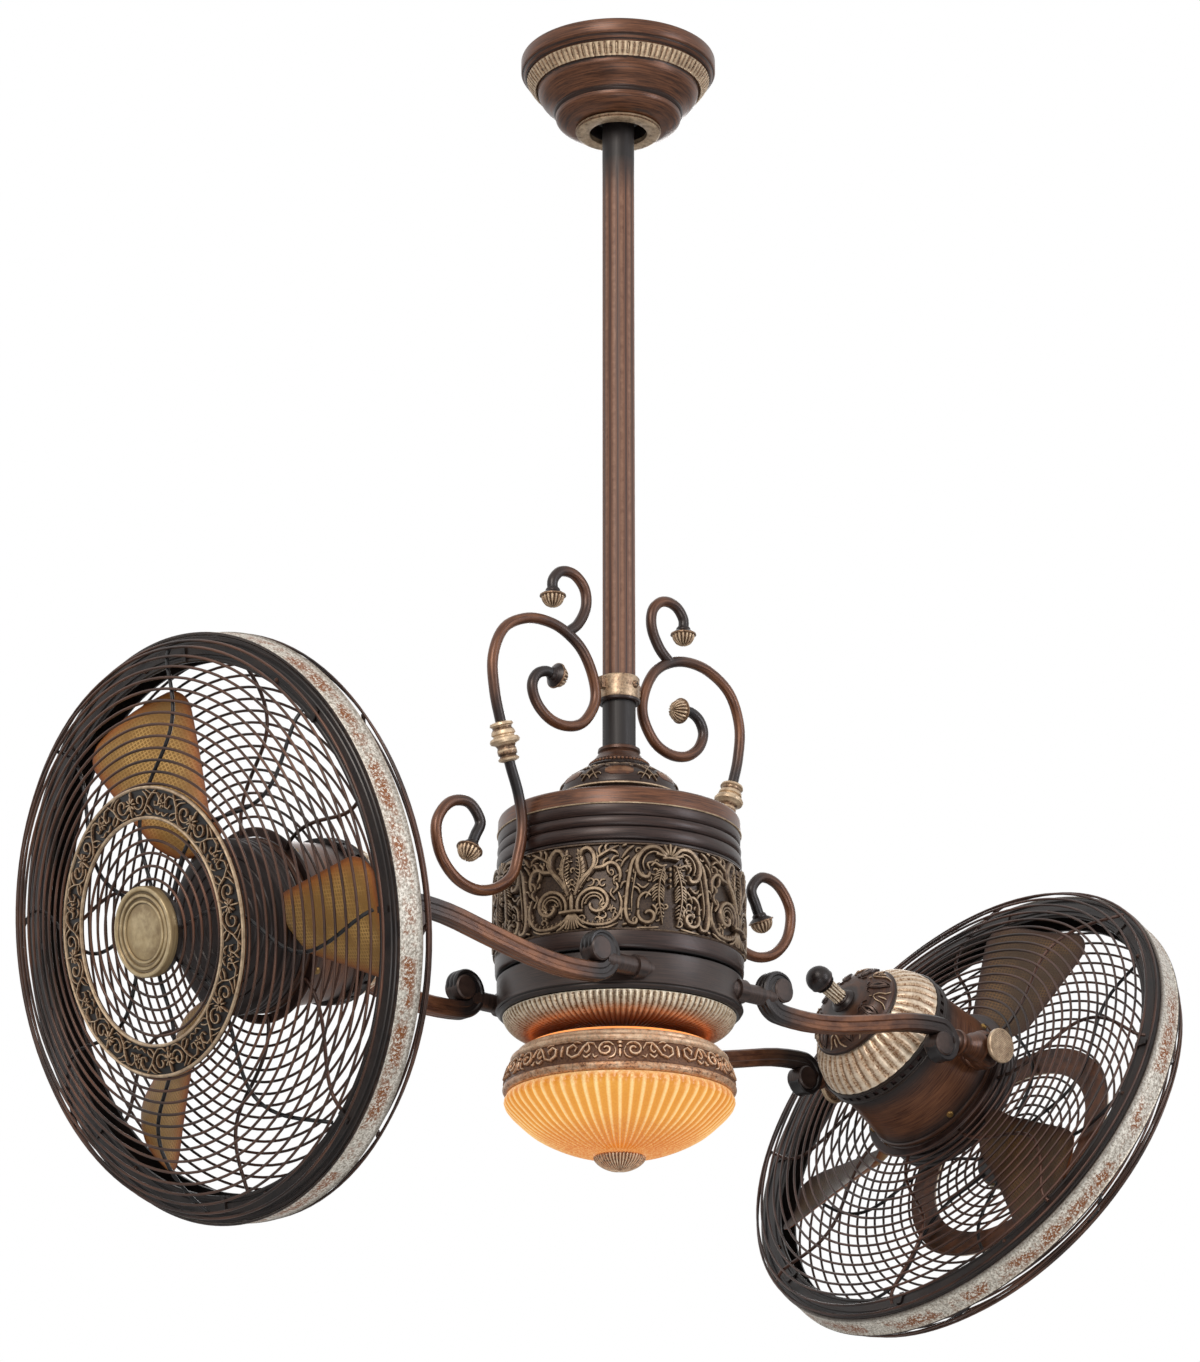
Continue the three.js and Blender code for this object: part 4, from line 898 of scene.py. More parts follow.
def lyre_motif():
    """Lyre of two swan necks under a shell, with two hanging garlands, 83 mm by 73 mm."""
    half = [
        ([(4, 64), (10, 70), (18, 70), (25, 64), (28, 55), (25, 46), (19, 44.5), (17, 49)], 5.0, 5.4,
         0.8, 0.5),
        ([(8, 65), (14, 66.5), (20, 63), (23, 56), (21.5, 50)], 2.2, 4.8, 0.6, 0.4),
        ([(24, 66), (31, 58), (34, 45), (36, 30), (37, 14), (34, 5), (29, 4.5), (28, 9)], 4.4, 5.0, 0.6,
         0.5),
        ([(28, 52), (30, 40), (32, 26), (32, 14)], 2.0, 4.4, 0.5, 0.3),
        (coil(19, 12, 8.5, 2.2, 25, -330, 18), 4.2, 5.2, 0.8, 0.5),
        ([(27, 17), (26, 26), (21, 31), (16, 29)], 3.2, 4.6, 0.7, 0.4),
        ([(3, 56), (8, 54.5), (13, 57), (16, 54)], 3.0, 4.8, 0.7, 0.4),
        ([(30, 71), (35, 67), (40, 60)], 3.4, 4.4, 0.5, 0.4),
        ([(10, 2.5), (18, 1.2), (28, 1)], 2.6, 3.6, 0.5, 0.4),
    ]
    for tip in ([(14, 58), (19, 56), (17, 51)], [(18, 39), (23, 35), (28, 39)],
                [(13, 36), (17, 33), (21, 26)],
                [(36, 72), (40, 70)], [(34, 62), (38, 58), (41, 52)], [(33, 50), (37, 48)],
                [(35, 40), (39, 39), (41, 34)], [(36, 28), (40, 26)], [(31, 36), (27, 34), (25, 30)],
                [(37, 18), (40, 15), (40, 9)], [(15, 21), (12, 17), (13, 11)], [(36, 4), (40, 3)]):
        half.append((tip, 2.8, 4.2, 0.8, 0.3))
    lines = mirrored(half)
    for hand in (-1, 1):
        lines += feather([(hand * 5, 56), (hand * 9, 42), (hand * 10, 26), (hand * 6.5, 5)],
                         2.4, 5.4, 5.6, 13, swing=0.8)
    lines += fan(0, 62, 2.5, 12, 14, 166, 7, 3.4, 5.4)
    lines += [([(-7, 61), (0, 61.8), (7, 61)], 3.2, 6.4, 1.0, 1.0)]
    lines += [([(0, 54 - 5 * k), (0, 51 - 5 * k)], 3.8 - 0.4 * k, 5.0, 0.8, 0.6) for k in range(4)]
    return lines


def tendrils(width, height, count, seed):
    """Small curls scattered in low relief over the ground, the same ones each time."""
    pick = random.Random(seed)
    lines = []
    for _ in range(count):
        x, y = pick.uniform(-width / 2, width / 2), pick.uniform(3, height - 3)
        turn, size = pick.uniform(0, 360), pick.uniform(2.4, 4.6)
        lines.append((coil(x, y, size, 0.9, turn, turn + pick.choice((-1, 1)) * 300, 8), 2.3, 2.3, 0.6,
                      0.4))
    return lines


# ---- column
def canopy():
    at = lambda r, h: (CANOPY_R * r, -CANOPY_H * h)
    rim = [(87.0, 0), (87.5, -1.2), (87.5, -12.0), (86.8, -13.2)]
    seat = [(85.6, -13.8), (85.2, -15.0), (84.8, -15.4), (84.2, -17.0), (83.6, -17.4), (82.8, -18.2)]
    ring = smooth([(81.6, -17.8), (79.8, -20.4), (76.4, -24.8), (73.2, -28.8)], 4)
    neck = [(72.6, -30.0), (72.2, -31.2)]
    ogee = smooth([(72.2, -31.2), (71.4, -34.6), (67.8, -40.2), (62.0, -45.6), (58.4, -49.6)], 5)
    step = [(57.6, -50.8), (58.0, -52.2), (57.4, -53.4), (56.2, -54.2)]
    bowl = smooth([(56.4, -55.2), (55.6, -58.6), (51.2, -62.8), (44.6, -66.0), (38.6, -67.1)], 5)
    outside = rim + seat + ring + neck + ogee + step + bowl
    inside = [at(0.4, 1), at(0.4, 0.965), at(0.53, 0.9), at(0.73, 0.52), (85.3, -8), (85.3, 0)]
    dark = seat[:2] + seat[4:] + neck + step
    shade = lambda r, z: 0.85 if (r, z) in dark else (0.5 if z > -1 else 0.06)
    body = turned("canopy_bell", outside + inside, 144, walnut, shade=shade)
    flutes = smooth([(81.2, -18.8), (79.6, -21.8), (76.8, -25.8), (73.8, -29.2)], 5)
    lift = [(r + 1.0, z - 0.9) for r, z in flutes]
    closed = [flutes[0], *lift, flutes[-1]]
    mask = [0.0] + [min(1.0,
        4 * min(i, len(lift) - 1 - i) / len(lift) + 0.2) for i in range(len(lift))] + [0.0]
    cord = turned("canopy_ring", closed, 96 * 8, gilded, crest=1.0, flute=mask)
    cord = fluted(cord, 96, 2.5, pairing=0.55)
    settle("canopy", [body, cord], "column")


def canopy_collar():
    low, high = zed("canopy_collar")
    outline = [(25.9, high), (36.6, high), (38.0, high - 0.8), (38.4, high - 2.2), (37.2, high - 3.0),
               (37.6, high - 4.2), (36.2, low + 0.2), (34.0, low), (27.4, low), (25.9, low + 0.8)]
    groove = lambda r, z: 0.35 if abs(z - high + 3) < 0.3 else 0.9
    ring = turned("collar_ring", outline, 96, gilded, crest=groove)
    settle("canopy_collar", [ring], "column")


def downrod():
    """Steel pipe pressed with twelve shallow flutes, dark under the canopy and below the collar."""
    low, high = zed("downrod")
    clamp_low, clamp_high = zed("rod_collar")
    stations = sorted({high, -60, -74, -98, -112, -138, -300, -450, -560, clamp_high, clamp_low,
                       clamp_low - 8, low + 12, low})
    bare = [z < clamp_low + 2 or z > -100 for z in stations]
    shade = [1.0 if black else 0.75 if z > -115 else 0.0 for black, z in zip(bare, stations)]
    outer = [(ROD_R, z) for z in stations]
    inner = [(ROD_R - 2.5, z) for z in reversed(stations)]
    flute = [0.0 if black else 1.0 for black in bare] + [0.0] * len(inner)
    pipe = turned("pipe", outer + inner, 120, pipe_brown, crest=0.95, shade=shade + [1.0] * len(inner),
                  flute=flute)
    pipe = fluted(pipe, 12, 0.3)
    for grain, corner in zip(pipe.data.attributes["grain"].data, pipe.data.vertices):
        a = math.atan2(corner.co.y, corner.co.x)
        grain.vector = (math.cos(a) * 9, math.sin(a) * 9, corner.co.z / 0.12)
    settle("downrod", [pipe], "column")


def rod_collar():
    low, high = zed("rod_collar")
    middle = (low + high) / 2
    high -= 6
    outline = [(14.8, low), (17.0, low), (17.8, low + 1.2), (17.6, low + 4), (17.9, middle),
               (17.6, high - 4),
               (17.8, high - 1.2), (17.0, high), (14.8, high)]
    sleeve = turned("clamp_sleeve", outline, 64, gilded, crest=0.85)
    parts = [sleeve, turned("clamp_lip", [(14.6, low - 2.0), (17.4, low - 2.0), (18.2, low - 1.2),
        (18.4, low + 0.6),
                                          (17.6, low + 1.4), (14.6, low + 1.4)], 64, bronze, shade=0.3)]
    for side in (1, -1):
        lug = bar("clamp_lug", [(side * 16.5, 0, middle), (side * 22.4, 0, middle)], 1.0, 4, gilded,
                  section=[(-5, -3), (-5, 3), (5, 3), (5, -3)], side=(0, 1, 0))
        parts.append(lug)
    head = turned("screw_head", smooth([(0, 2.2), (2.2, 1.9), (3.4, 0.4)], 3)[:-1] + [(3.6, 0),
        (3.6, -1.5), (0, -1.5)],
                  24, gilded, crest=0.5)
    slots = [bar("screw_slot", [(-2.4 * c, -2.4 * s, 2.0), (2.4 * c, 2.4 * s, 2.0)], 0.45, 4, bronze,
                 shade=1.0)
             for c, s in ((1, 0), (0, 1))]
    seat = rotation(-80) @ moved(17.8, 0, middle - 1)
    for part in [head, *slots]:
        parts.append(lay(part, seat @ rotation(90, "Y")))
    settle("rod_collar", parts, "column")


def coupling_dome():
    """Cast coupling: collar, bead row, and a round belt of leaves and twigs over a gold edge."""
    top = DOME_TOP
    collar = [(16.9, top + 2.0), (18.0, top + 1.4), (18.4, top - 1.2), (17.2, top - 2.8)]
    cone = smooth([(18.2, top - 3.8), (20.6, top - 7.0), (23.8, top - 10.4)], 3)
    ledge = [(23.4, top - 12.4), (26.8, top - 14.6), (29.0, top - 16.4), (28.2, top - 18.8)]
    belt = smooth([(29.4, top - 20.4), (34.0, top - 22.0), (39.8, top - 24.6), (44.8, top - 28.4),
                   (48.2, top - 33.0),
                   (49.6, top - 37.4), (50.2, top - 40.6)], 4)
    skirt = [(51.4, top - 42.8), (50.4, top - 44.0), (52.0, top - 46.2), (54.3, DOME_LOW)]
    inside = [(50.5, DOME_LOW), (43.4, DOME_LOW + 6), (25, top - 26), (14.73, top - 15)]
    shade = [0.5] * 4 + [0.45] * len(cone) + [1.0, 1.0, 0.9, 1.0] + [0.85] * len(belt) + [0, 1, 0.8,
        0.6] + [1] * 4
    body = turned("dome_body", collar + cone + ledge + belt + skirt + inside, 120, walnut, shade=shade)
    bead = turned("bead", arc(0, 0, 1.5, 90, -90, 6), 10, walnut, crest=0.8)
    bead = repeated(lay(bead, moved(25.0, 0, top - 13.0)), 46)
    surface = on_profile(list(reversed(belt)), 46)
    length = sum(math.dist(a, b) for a, b in zip(belt, belt[1:]))
    up = lambda lines: [([(x, length * y) for x, y in points], *rest) for points, *rest in lines]
    field = strands("dome_fields", up([([(-12, 0.36), (0, 0.40), (12, 0.36)], 15.0, 0.9, 0.45, 0.45)]),
                    surface, walnut)
    twigs = up(mirrored([
        ([(31, 0.06), (27.5, 0.24), (24, 0.40), (18.5, 0.60), (12.5, 0.76), (6, 0.84), (0, 0.80)],
         2.0, 2.2, 0.6, 0.5),
        ([(14, 0.74), (16.5, 0.86), (21, 0.90), (24, 0.86)], 2.6, 1.8, 0.7, 0.4),
        ([(18.6, 0.60), (21, 0.70), (24, 0.72)], 2.4, 2.0, 0.7, 0.3),
        ([(6, 0.84), (4.6, 0.92), (1.4, 0.95)], 2.0, 1.6, 0.7, 0.4),
        ([(15, 0.68), (12.2, 0.60), (9.4, 0.62)], 1.7, 1.6, 0.7, 0.3),
        ([(27.5, 0.24), (24.8, 0.17), (24, 0.08)], 2.2, 1.8, 0.7, 0.3),
        ([(20.4, 0.22), (16.8, 0.26), (14.6, 0.20)], 2.2, 1.8, 0.7, 0.3),
    ]))
    twigs = repeated(strands("dome_twigs", twigs, surface, frieze), 6)
    field = repeated(field, 6)
    turn = rotation(NEAR_SIDE)
    line = turned("dome_line", [(50.0, top - 41.6), (52.0, top - 42.0), (52.4, top - 43.2),
                                (50.2, top - 43.8)], 120,
                  gilded, crest=0.95)
    parts = [body, bead, lay(twigs, turn), lay(field, turn), line]
    settle("coupling_dome", parts, "column")


def housing_cap():
    low, high = zed("housing_cap")
    line_r = 103.0
    outline = [(10.4, high), (56, high), (57.5, high - 1.0)]
    outline += smooth([(60, high - 3.0), (74, high - 5.2), (88, high - 8.0), (98, high - 11.0)], 5)
    outline += [(100.6, high - 12.0), (102.4, high - 13.4), (103.2, high - 15.4), (103.6, low - 2.4),
                (103.8, low - 3.4),
                (99, low - 3.4), (96, high - 15), (57.3, high - 6), (10.4, high - 6)]
    cap = turned("cap_plate", outline, 144, walnut, shade=lambda r, z: 0.75 if r < 64 else 0.0,
                 streak=0.9)
    line = turned("cap_pin_line", [(line_r - 1, low - 4.4), (line_r + 1.0, low - 4.4),
                                   (line_r + 1.4, low - 3.8),
                                  (line_r + 0.6, low - 3.2)], 144, gilded, crest=1.0)
    settle("housing_cap", [cap, line], "column")


def housing_shell():
    """Ribbed steel drum: three dark bands above the frieze, a plain belt under it."""
    R, top, low_edge = SHELL_R, SHELL_TOP, SHELL_LOW
    outline, shade = [], []
    def trace(points, value):
        outline.extend(points)
        shade.extend([value] * len(points))
    trace([(R - 4, top), (R - 1.2, top)], 1.0)
    tops = [(top - 0.6, top - 13.4), (top - 14.6, top - 22.6),
            (top - 24.0, top - 34.5)]
    for k, (high, low) in enumerate(tops):
        bulge = R - 0.9 + 0.5 * k
        trace([(bulge - 0.9, high), (bulge, high - 1.6), (bulge + 0.3, (high + low) / 2),
               (bulge, low + 1.6),
               (bulge - 0.9, low)], 0.0)
        trace([(bulge - 1.9, low - 0.7)], 1.0)
    trace([(R + 0.8, top - 36.6), (R + 0.8, BAND_TOP + 0.6)], 0.4)
    trace([(R - 1.6, BAND_TOP + 0.3), (R - 1.6, BAND_LOW - 0.3)], 1.0)
    trace([(R + 1.2, BAND_LOW - 0.4), (R + 1.5, BAND_LOW - 2.0), (R + 1.2, low_edge + 4.0),
           (R + 0.8, low_edge + 2.0)],
          0.0)
    trace([(R - 0.4, low_edge + 0.4), (R - 1.5, low_edge), (R - 4, low_edge)], 1.0)
    shell = turned("ribbed_drum", outline, 144, bronze, shade=shade, streak=1.3)
    settle("housing_shell", [shell], "column")


def scroll_band():
    """Cast frieze: lilies and lyres by turns, four of each, on a sunk ground."""
    ground_r = SHELL_R - 0.6
    bead = 1.4
    ground = [(SHELL_R - 1.5, BAND_LOW), (ground_r + 1.6, BAND_LOW), (ground_r + 2.4, BAND_LOW + bead),
              (ground_r, BAND_LOW + 2.2), (ground_r, BAND_TOP - 2.2), (ground_r + 2.4, BAND_TOP - bead),
              (ground_r + 1.6, BAND_TOP), (SHELL_R - 1.5, BAND_TOP)]
    crest = [0, 0.6, 0.8, 0.28, 0.28, 0.8, 0.6, 0]
    parts = [turned("frieze_ground", ground, 144, frieze, crest=crest)]
    face = on_profile([(ground_r, BAND_LOW + 0.8), (ground_r, BAND_TOP - 0.8)], ground_r)
    quarter = TURN * ground_r / 4
    lily_at = math.radians(206) * ground_r
    lyre_at = lily_at + quarter / 2
    for label, motif, start in (("lilies", lily_motif(), lily_at), ("lyres", lyre_motif(), lyre_at)):
        relief = strands(label, shifted(motif + tendrils(quarter / 2, 74, 44, label), start), face,
                         frieze, 1.25)
        parts.append(repeated(relief, 4))
    settle("scroll_band", parts, "column")


SCROLL_MAIN = [
    *[(BAND_OUT + x, SHELL_TOP + z) for x, z in (
        (57, -44), (52, -33), (47, -21), (59, -7), (79, -10), (94, -30), (90, -56), (73, -74), (51, -80),
        (30, -75), (11.5, -60), (5, -41), (1.5, -25), (1, -11), (5.5, 12), (15.5, 38), (25.5, 71))],
    *[(BAND_OUT + x, DOME_TOP + z) for x, z in ((32.5, 24), (34.5, 54), (22.5, 82), (-3.5, 97))],
    *[(ROD_R + x, DOME_TOP + z) for x, z in (
        (64, 99), (46, 94), (29, 83), (17, 64), (12.7, 45), (16, 32), (29, 16), (48, 10), (66, 13),
        (80, 24),
        (85, 38), (80, 49), (70, 54), (61, 53))],
]
SCROLL_CURL = [(ROD_R + x, DOME_TOP + z) for x, z in (
    (46, 94), (33, 105), (24, 123), (26, 139), (38, 149), (53, 148), (62, 138), (62, 127))]
BALUSTER = ((BAND_OUT + 15.5, SHELL_TOP + 38), (BAND_OUT + 25.5, SHELL_TOP + 71))


def along(start, end):
    """Sets something made along Z on the line from one point of the plane y = 0 to another."""
    way = Vector((end[0] - start[0], 0, end[1] - start[1])).normalized()
    turn = Vector((0, 0, 1)).rotation_difference(way).to_matrix().to_4x4()
    return moved(start[0], 0, start[1]) @ turn


def bud(before, end):
    """Ribbed acorn on the end of a bar: dark cup, gilded lip, sixteen gilded ribs."""
    cup = turned("bud_cup", [(0, -4), (5.0, -4), (6.2, -2.6), (6.4, -0.8), (9.2, 1.0), (10.6, 2.2),
                             (10.2, 3.2), (0, 3.2)],
                 48, bronze, shade=0.5)
    lip = turned("bud_lip", [(9.4, 1.8), (11.2, 2.4), (11.4, 3.6), (9.4, 4.2)], 48, gilded)
    dome = [(10.0, 3.6), *smooth([(10.0, 4.2), (9.2, 7.6), (6.6, 11.2), (3.0, 13.2)], 4)]
    nut = turned("bud_ribs", [*dome, (0, 13.8), (0, 3.0)], 128, gilded, crest=1.0,
                 flute=[0.4] + [1.0] * (len(dome) - 1) + [0.0, 0.0])
    nut = fluted(nut, 16, 1.9)
    seat = along(end, (2 * end[0] - before[0], 2 * end[1] - before[1]))
    return [lay(part, seat) for part in (cup, lip, nut)]


def wrought_scroll(word, side):
    main = smooth(SCROLL_MAIN, 6)
    curl = smooth(SCROLL_CURL, 6)
    dark = [(0.0, 1.0), (0.05, 0.9), (0.12, 0.0), (0.34, 0.0), (0.40, 1.0), (0.50, 0.9), (0.56, 0.1),
            (0.66, 0.1),
            (0.72, 0.85), (0.78, 0.15), (0.90, 0.1), (0.96, 0.9), (1.0, 1.0)]
    shade = lambda t: float(np.interp(t, *zip(*dark)))
    lift = lambda points: [(x, 0, z) for x, z in points]
    parts = [bar("scroll_bar", lift(main), SCROLL_BAR_R, 14, copper, shade=shade),
             bar("scroll_curl", lift(curl), SCROLL_BAR_R, 14, copper,
                 shade=lambda t: float(np.interp(t, [0, 0.3, 0.6, 0.8, 1], [0.9, 0.7, 0.2, 0.8, 1])))]
    for points in (SCROLL_MAIN[1::-1], SCROLL_MAIN[-2:], SCROLL_CURL[-2:]):
        parts += bud(*points)
    length = math.dist(*BALUSTER)
    waist = [(0, 0), (5.6, 0), (8.6, 1.2), (9.2, 2.6), (7.4, 4.2), (7.0, 5.4), (8.2, 6.2), (8.4, 9.6),
             (7.6, 12.4),
             (8.8, 14.6), (12.4, 16.2), (13.0, 18.2), (12.0, 20.2), (9.2, 21.4), (9.0, 22.6),
             (10.4, 23.6),
             (10.0, 26.0), (8.2, 28.6), (8.4, 30.2), (10.2, 31.2), (9.6, 33.2), (5.6, 34.5), (0, 34.5)]
    waist = [(r, z * length / 34.5) for r, z in waist]
    crest = [0.3 if r < 8.3 and 0 < z < length else 1.0 for r, z in waist]
    parts.append(lay(turned("baluster", waist, 48, gilded, crest=crest), along(*BALUSTER)))
    clip_z = SHELL_TOP - 18
    for z in (clip_z - 4.5, clip_z, clip_z + 4.5):
        nut = turned("clip_nut", [(0, 0), (4.2, 0), (4.6, 1), (4.6, 3.4), (4.0, 4.2), (0, 4.2)], 8,
                     bronze, crease=20)
        parts.append(lay(nut, moved(SHELL_R + 0.3, 0, z) @ rotation(90, "Y")))
    place = rotation(180) if side < 0 else None
    settle(f"scroll_{word}", parts, "column", place)


# ---- light
def light_fitter():
    """Cast gallery: two rolls on top, then a belt with running scrolls, and a plain lip."""
    top, low = FITTER_TOP, FITTER_LOW
    roll = arc(83.0, top - 4.2, 3.6, 150, -20, 8)
    second = arc(88.4, top - 9.0, 3.4, 130, -60, 8)
    belt = smooth([(91.2, top - 13.6), (93.0, top - 17.0), (95.2, top - 24.0), (96.8, top - 30.0)], 5)
    lip = arc(94.6, top - 34.0, 3.6, 50, -80, 8)
    outside = [(78.7, top), *roll, (86.6, top - 6.4), *second, (90.0, top - 12.4), *belt, *lip]
    inside = [(92.0, low + 0.4), (88.6, top - 20), (84, top - 12), (76.2, top - 6), (75.6, top)]
    shade = [0.0] * len(outside) + [0.3] * len(inside)
    crest = [0.5] + [0.9] * len(roll) + [0.0] + [0.9] * len(second) + [0.0] + [0.14] * len(belt)
    crest += [0.1] + [0.8] * (len(lip) - 1) + [0.2] * len(inside)
    body = turned("gallery", outside + inside, 144, gilt_painted_lamplight, crest=crest, shade=shade)
    face = on_profile([tuple(p) for p in reversed(belt)], 94.5)
    half = [
        (coil(11.5, 8.5, 7.2, 1.6, 150, -330, 20), 2.2, 2.6, 0.5, 0.6),
        ([(5.0, 11.5), (3.4, 6.5), (5.4, 2.0), (9.5, 0.6)], 1.6, 2.2, 0.5, 0.3),
        ([(18.6, 9), (22, 14.5), (27, 15.0), (30.5, 11.0), (34, 4.5), (39.5, 2.6), (44, 6.0), (44, 11.5),
          (39.5, 14),
          (36.0, 11), (37.5, 8)], 2.2, 2.6, 0.5, 0.6),
        ([(27, 15), (25, 9), (27.5, 6), (29.5, 8.5)], 1.7, 2.4, 0.6, 0.5),
        ([(24, 4.6), (27.5, 1.6), (30.5, 4.5)], 1.8, 2.2, 0.5, 0.4),
        ([(33, 15.5), (36.5, 17), (40, 16.6)], 1.6, 2.0, 0.4, 0.4),
        ([(18, 3.0), (20.5, 1.6), (22, 4.8)], 1.6, 2.0, 0.5, 0.4),
    ]
    lines = mirrored(half)
    lines += [([(0, 16), (0, 13.6)], 4.4, 2.8, 0.7, 0.7), ([(0, 12.2), (0, 9.8)], 3.6, 2.8, 0.7, 0.7),
              ([(0, 8.4), (0, 1.6)], 3.0, 2.6, 0.9, 0.3), ([(49.5, 14), (49.5, 4)], 2.4, 2.4, 0.6, 0.6)]
    front = math.radians(NEAR_SIDE) * 94.5
    scrolls = strands("gallery_scrolls", shifted(lines, front, 0.4), face, gilt_painted_lamplight, 1.3)
    scrolls = repeated(scrolls, 6)
    seal = turned("gallery_seal", [(74.6, top + 2.0), (78.2, top + 2.4), (79.8, top + 1.0),
                                   (79.4, top - 0.6),
                                   (74.6, top - 0.6)], 144, seal_painted_glow)
    settle("light_fitter", [body, scrolls, seal], "column")


def glass_bowl():
    """Pressed bowl with sixty flutes."""
    depth = GLASS_TOP - GLASS_LOW
    curve = smooth([(0.975, 0), (1.0, 0.107), (0.973, 0.24), (0.881, 0.426), (0.743, 0.648),
                    (0.546, 0.843),
                    (0.358, 0.96), (0.2, 0.99)], 6)
    outside = [(GLASS_R * r, GLASS_TOP - depth * h) for r, h in curve] + [(4.8, GLASS_LOW)]
    inside = [(r * 0.965, z + 3) for r, z in reversed(outside[2:])] + [(GLASS_R * 0.94, GLASS_TOP)]
    mask = [min(1.0, i / 4) * (1.0 if r > 24 else 0.0) for i,
            (r, z) in enumerate(outside)] + [0.0] * len(inside)
    # painted falloff of the bowl's glow: the shade attribute deepens it to orange near the rim and the
    # foot
    glow = lambda h: max(0.0, 0.55 - 2.6 * h) + max(0.0, (h - 0.62) * 2.4)
    shade = [min(1.0, glow((GLASS_TOP - z) / depth)) for r, z in outside] + [0.4] * len(inside)
    bowl = turned("pressed_bowl", outside + inside, 60 * 8, amber, crest=1.0, shade=shade, flute=mask)
    bowl = fluted(bowl, 60, 1.9, narrowing=3.4)
    settle("glass_bowl", [bowl], "column")


def glass_finial():
    low, high = zed("glass_finial")
    top = GLASS_LOW - 0.3
    curve = smooth([(20.6, top), (22.0, top - 1.4), (20.6, top - 4.6), (16.0, top - 8.6),
                    (9.0, top - 11.8),
                    (3.0, top - 12.8)], 4)
    outline = [(4.0, top), *curve, (2.6, low + 0.4), (0, low)]
    outline = [(0, high), (4.0, high), *outline]
    mask = [0, 0, 0] + [1.0] * len(curve) + [0, 0]
    nut = turned("finial_nut", outline, 44 * 6, gilt_painted_lamplight, crest=1.0, flute=mask)
    nut = fluted(nut, 44, 1.3)
    settle("glass_finial", [nut], "column")


# ---- carrier
def carrier_ring():
    R, low, top = CARRIER_R, CARRIER_LOW, CARRIER_TOP
    outline = [(24.5, top), (R - 1.6, top), (R - 0.2, top - 1.0), (R, top - 3.0),
               (R - 0.4, low + 8), (R + 0.6, low + 6), (R + 0.8, low + 4.6),
               (R - 0.8, low + 3.6), (R - 0.6, low + 2.4), (R - 2.0, low + 1.2),
               (R - 3.0, low), (R - 6, low), (R - 6, top - 5), (24.5, top - 5)]
    shade = [0.9, 0.9, 0.7, 0.25, 0.25, 0.2, 0.2, 0.9, 0.2, 0.6, 0.6, 1, 1, 1]
    ring = turned("carrier_drum", outline, 144, satin, shade=shade, streak=1.4)
    parts = [ring]
    for side in (1, -1):
        for hand in (1, -1):
            start = math.sqrt(R ** 2 - ARM_Y ** 2) - 6
            path = [(side * x, hand * ARM_Y, PIVOT_Z + 1) for x in (start, start + 6, start + 9)]
            collar = bar("stub_collar", path, 10.2, 28, satin)
            parts.append(collar)
    settle("carrier_ring", parts, "carrier")


def under_pan():
    """Spun pan with a hundred and eight flutes, silver at its edge, with painted orange lamp glow
    towards its middle.
    """
    height = PAN_TOP - PAN_LOW
    at = lambda r, h: (PAN_R * r, PAN_TOP - height * h)
    curve = smooth([at(1.0, 0.02), at(0.995, 0.14), at(0.975, 0.34), at(0.93, 0.57), at(0.86, 0.76),
                    at(0.79, 0.87),
                    at(0.74, 0.92)], 5)
    curve += [at(0.62, 0.955), at(0.5, 0.97)]
    outside = curve + [(12, PAN_LOW)]
    inside = [(12, PAN_LOW + 2), at(0.77, 0.74), at(0.87, 0.52), at(0.95, 0.2), at(0.975, 0)]
    mask = [min(1.0, i / 3) if i < len(curve) - 1 else 0.0 for i in range(len(outside))] + [0.0] * 5
    # painted lamp glow: orange brown towards the middle of the pan, where the lamps below would light it
    shade = [float(np.interp(r / PAN_R, [0.6, 0.76, 0.92, 1.0], [1.0, 0.92, 0.35, 0.0])) for r,
             z in outside]
    shade += [0.9] * 5
    pan = turned("fluted_pan", outside + inside, 108 * 6, leafed, crest=1.0, shade=shade, flute=mask)
    pan = fluted(pan, 108, 1.7)
    settle("under_pan", [pan], "carrier")


def arm_line():
    """Centre line of an arm as (distance from the fan axis, height over the tilt axis)."""
    inner = coil(CARRIER_R, 8, 19, 6, 270, -10, 18)
    outer = coil(REACH - CURL_BACK, -5.5, 16, 5, 90, -200, 18)
    span = REACH - CURL_BACK - CARRIER_R
    middle = [(CARRIER_R + span * t, z) for t, z in ((0.17, -12.5), (0.36, -9), (0.6, 0), (0.82, 8.5))]
    return smooth([*reversed(inner), *middle, *outer], 3)


ARM_SECTION = [  # share of the depth, distance across: three beads on the outer face, fluted sides
    (0.80, -7.0), (0.96, -5.8), (1.0, -4.6), (0.93, -3.2), (0.84, -2.6), (0.98, -1.2), (1.0, 0.0),
    (0.98, 1.2),
    (0.84, 2.6), (0.93, 3.2), (1.0, 4.6), (0.96, 5.8), (0.80, 7.0), (0.45, 7.2), (0.30, 6.2),
    (-0.15, 6.2),
    (-0.30, 7.2), (-0.80, 7.2), (-1.0, 5.6), (-0.92, 2.0), (-0.92, -2.0), (-1.0, -5.6), (-0.80, -7.2),
    (-0.30, -7.2), (-0.15, -6.2), (0.30, -6.2), (0.45, -7.2),
]


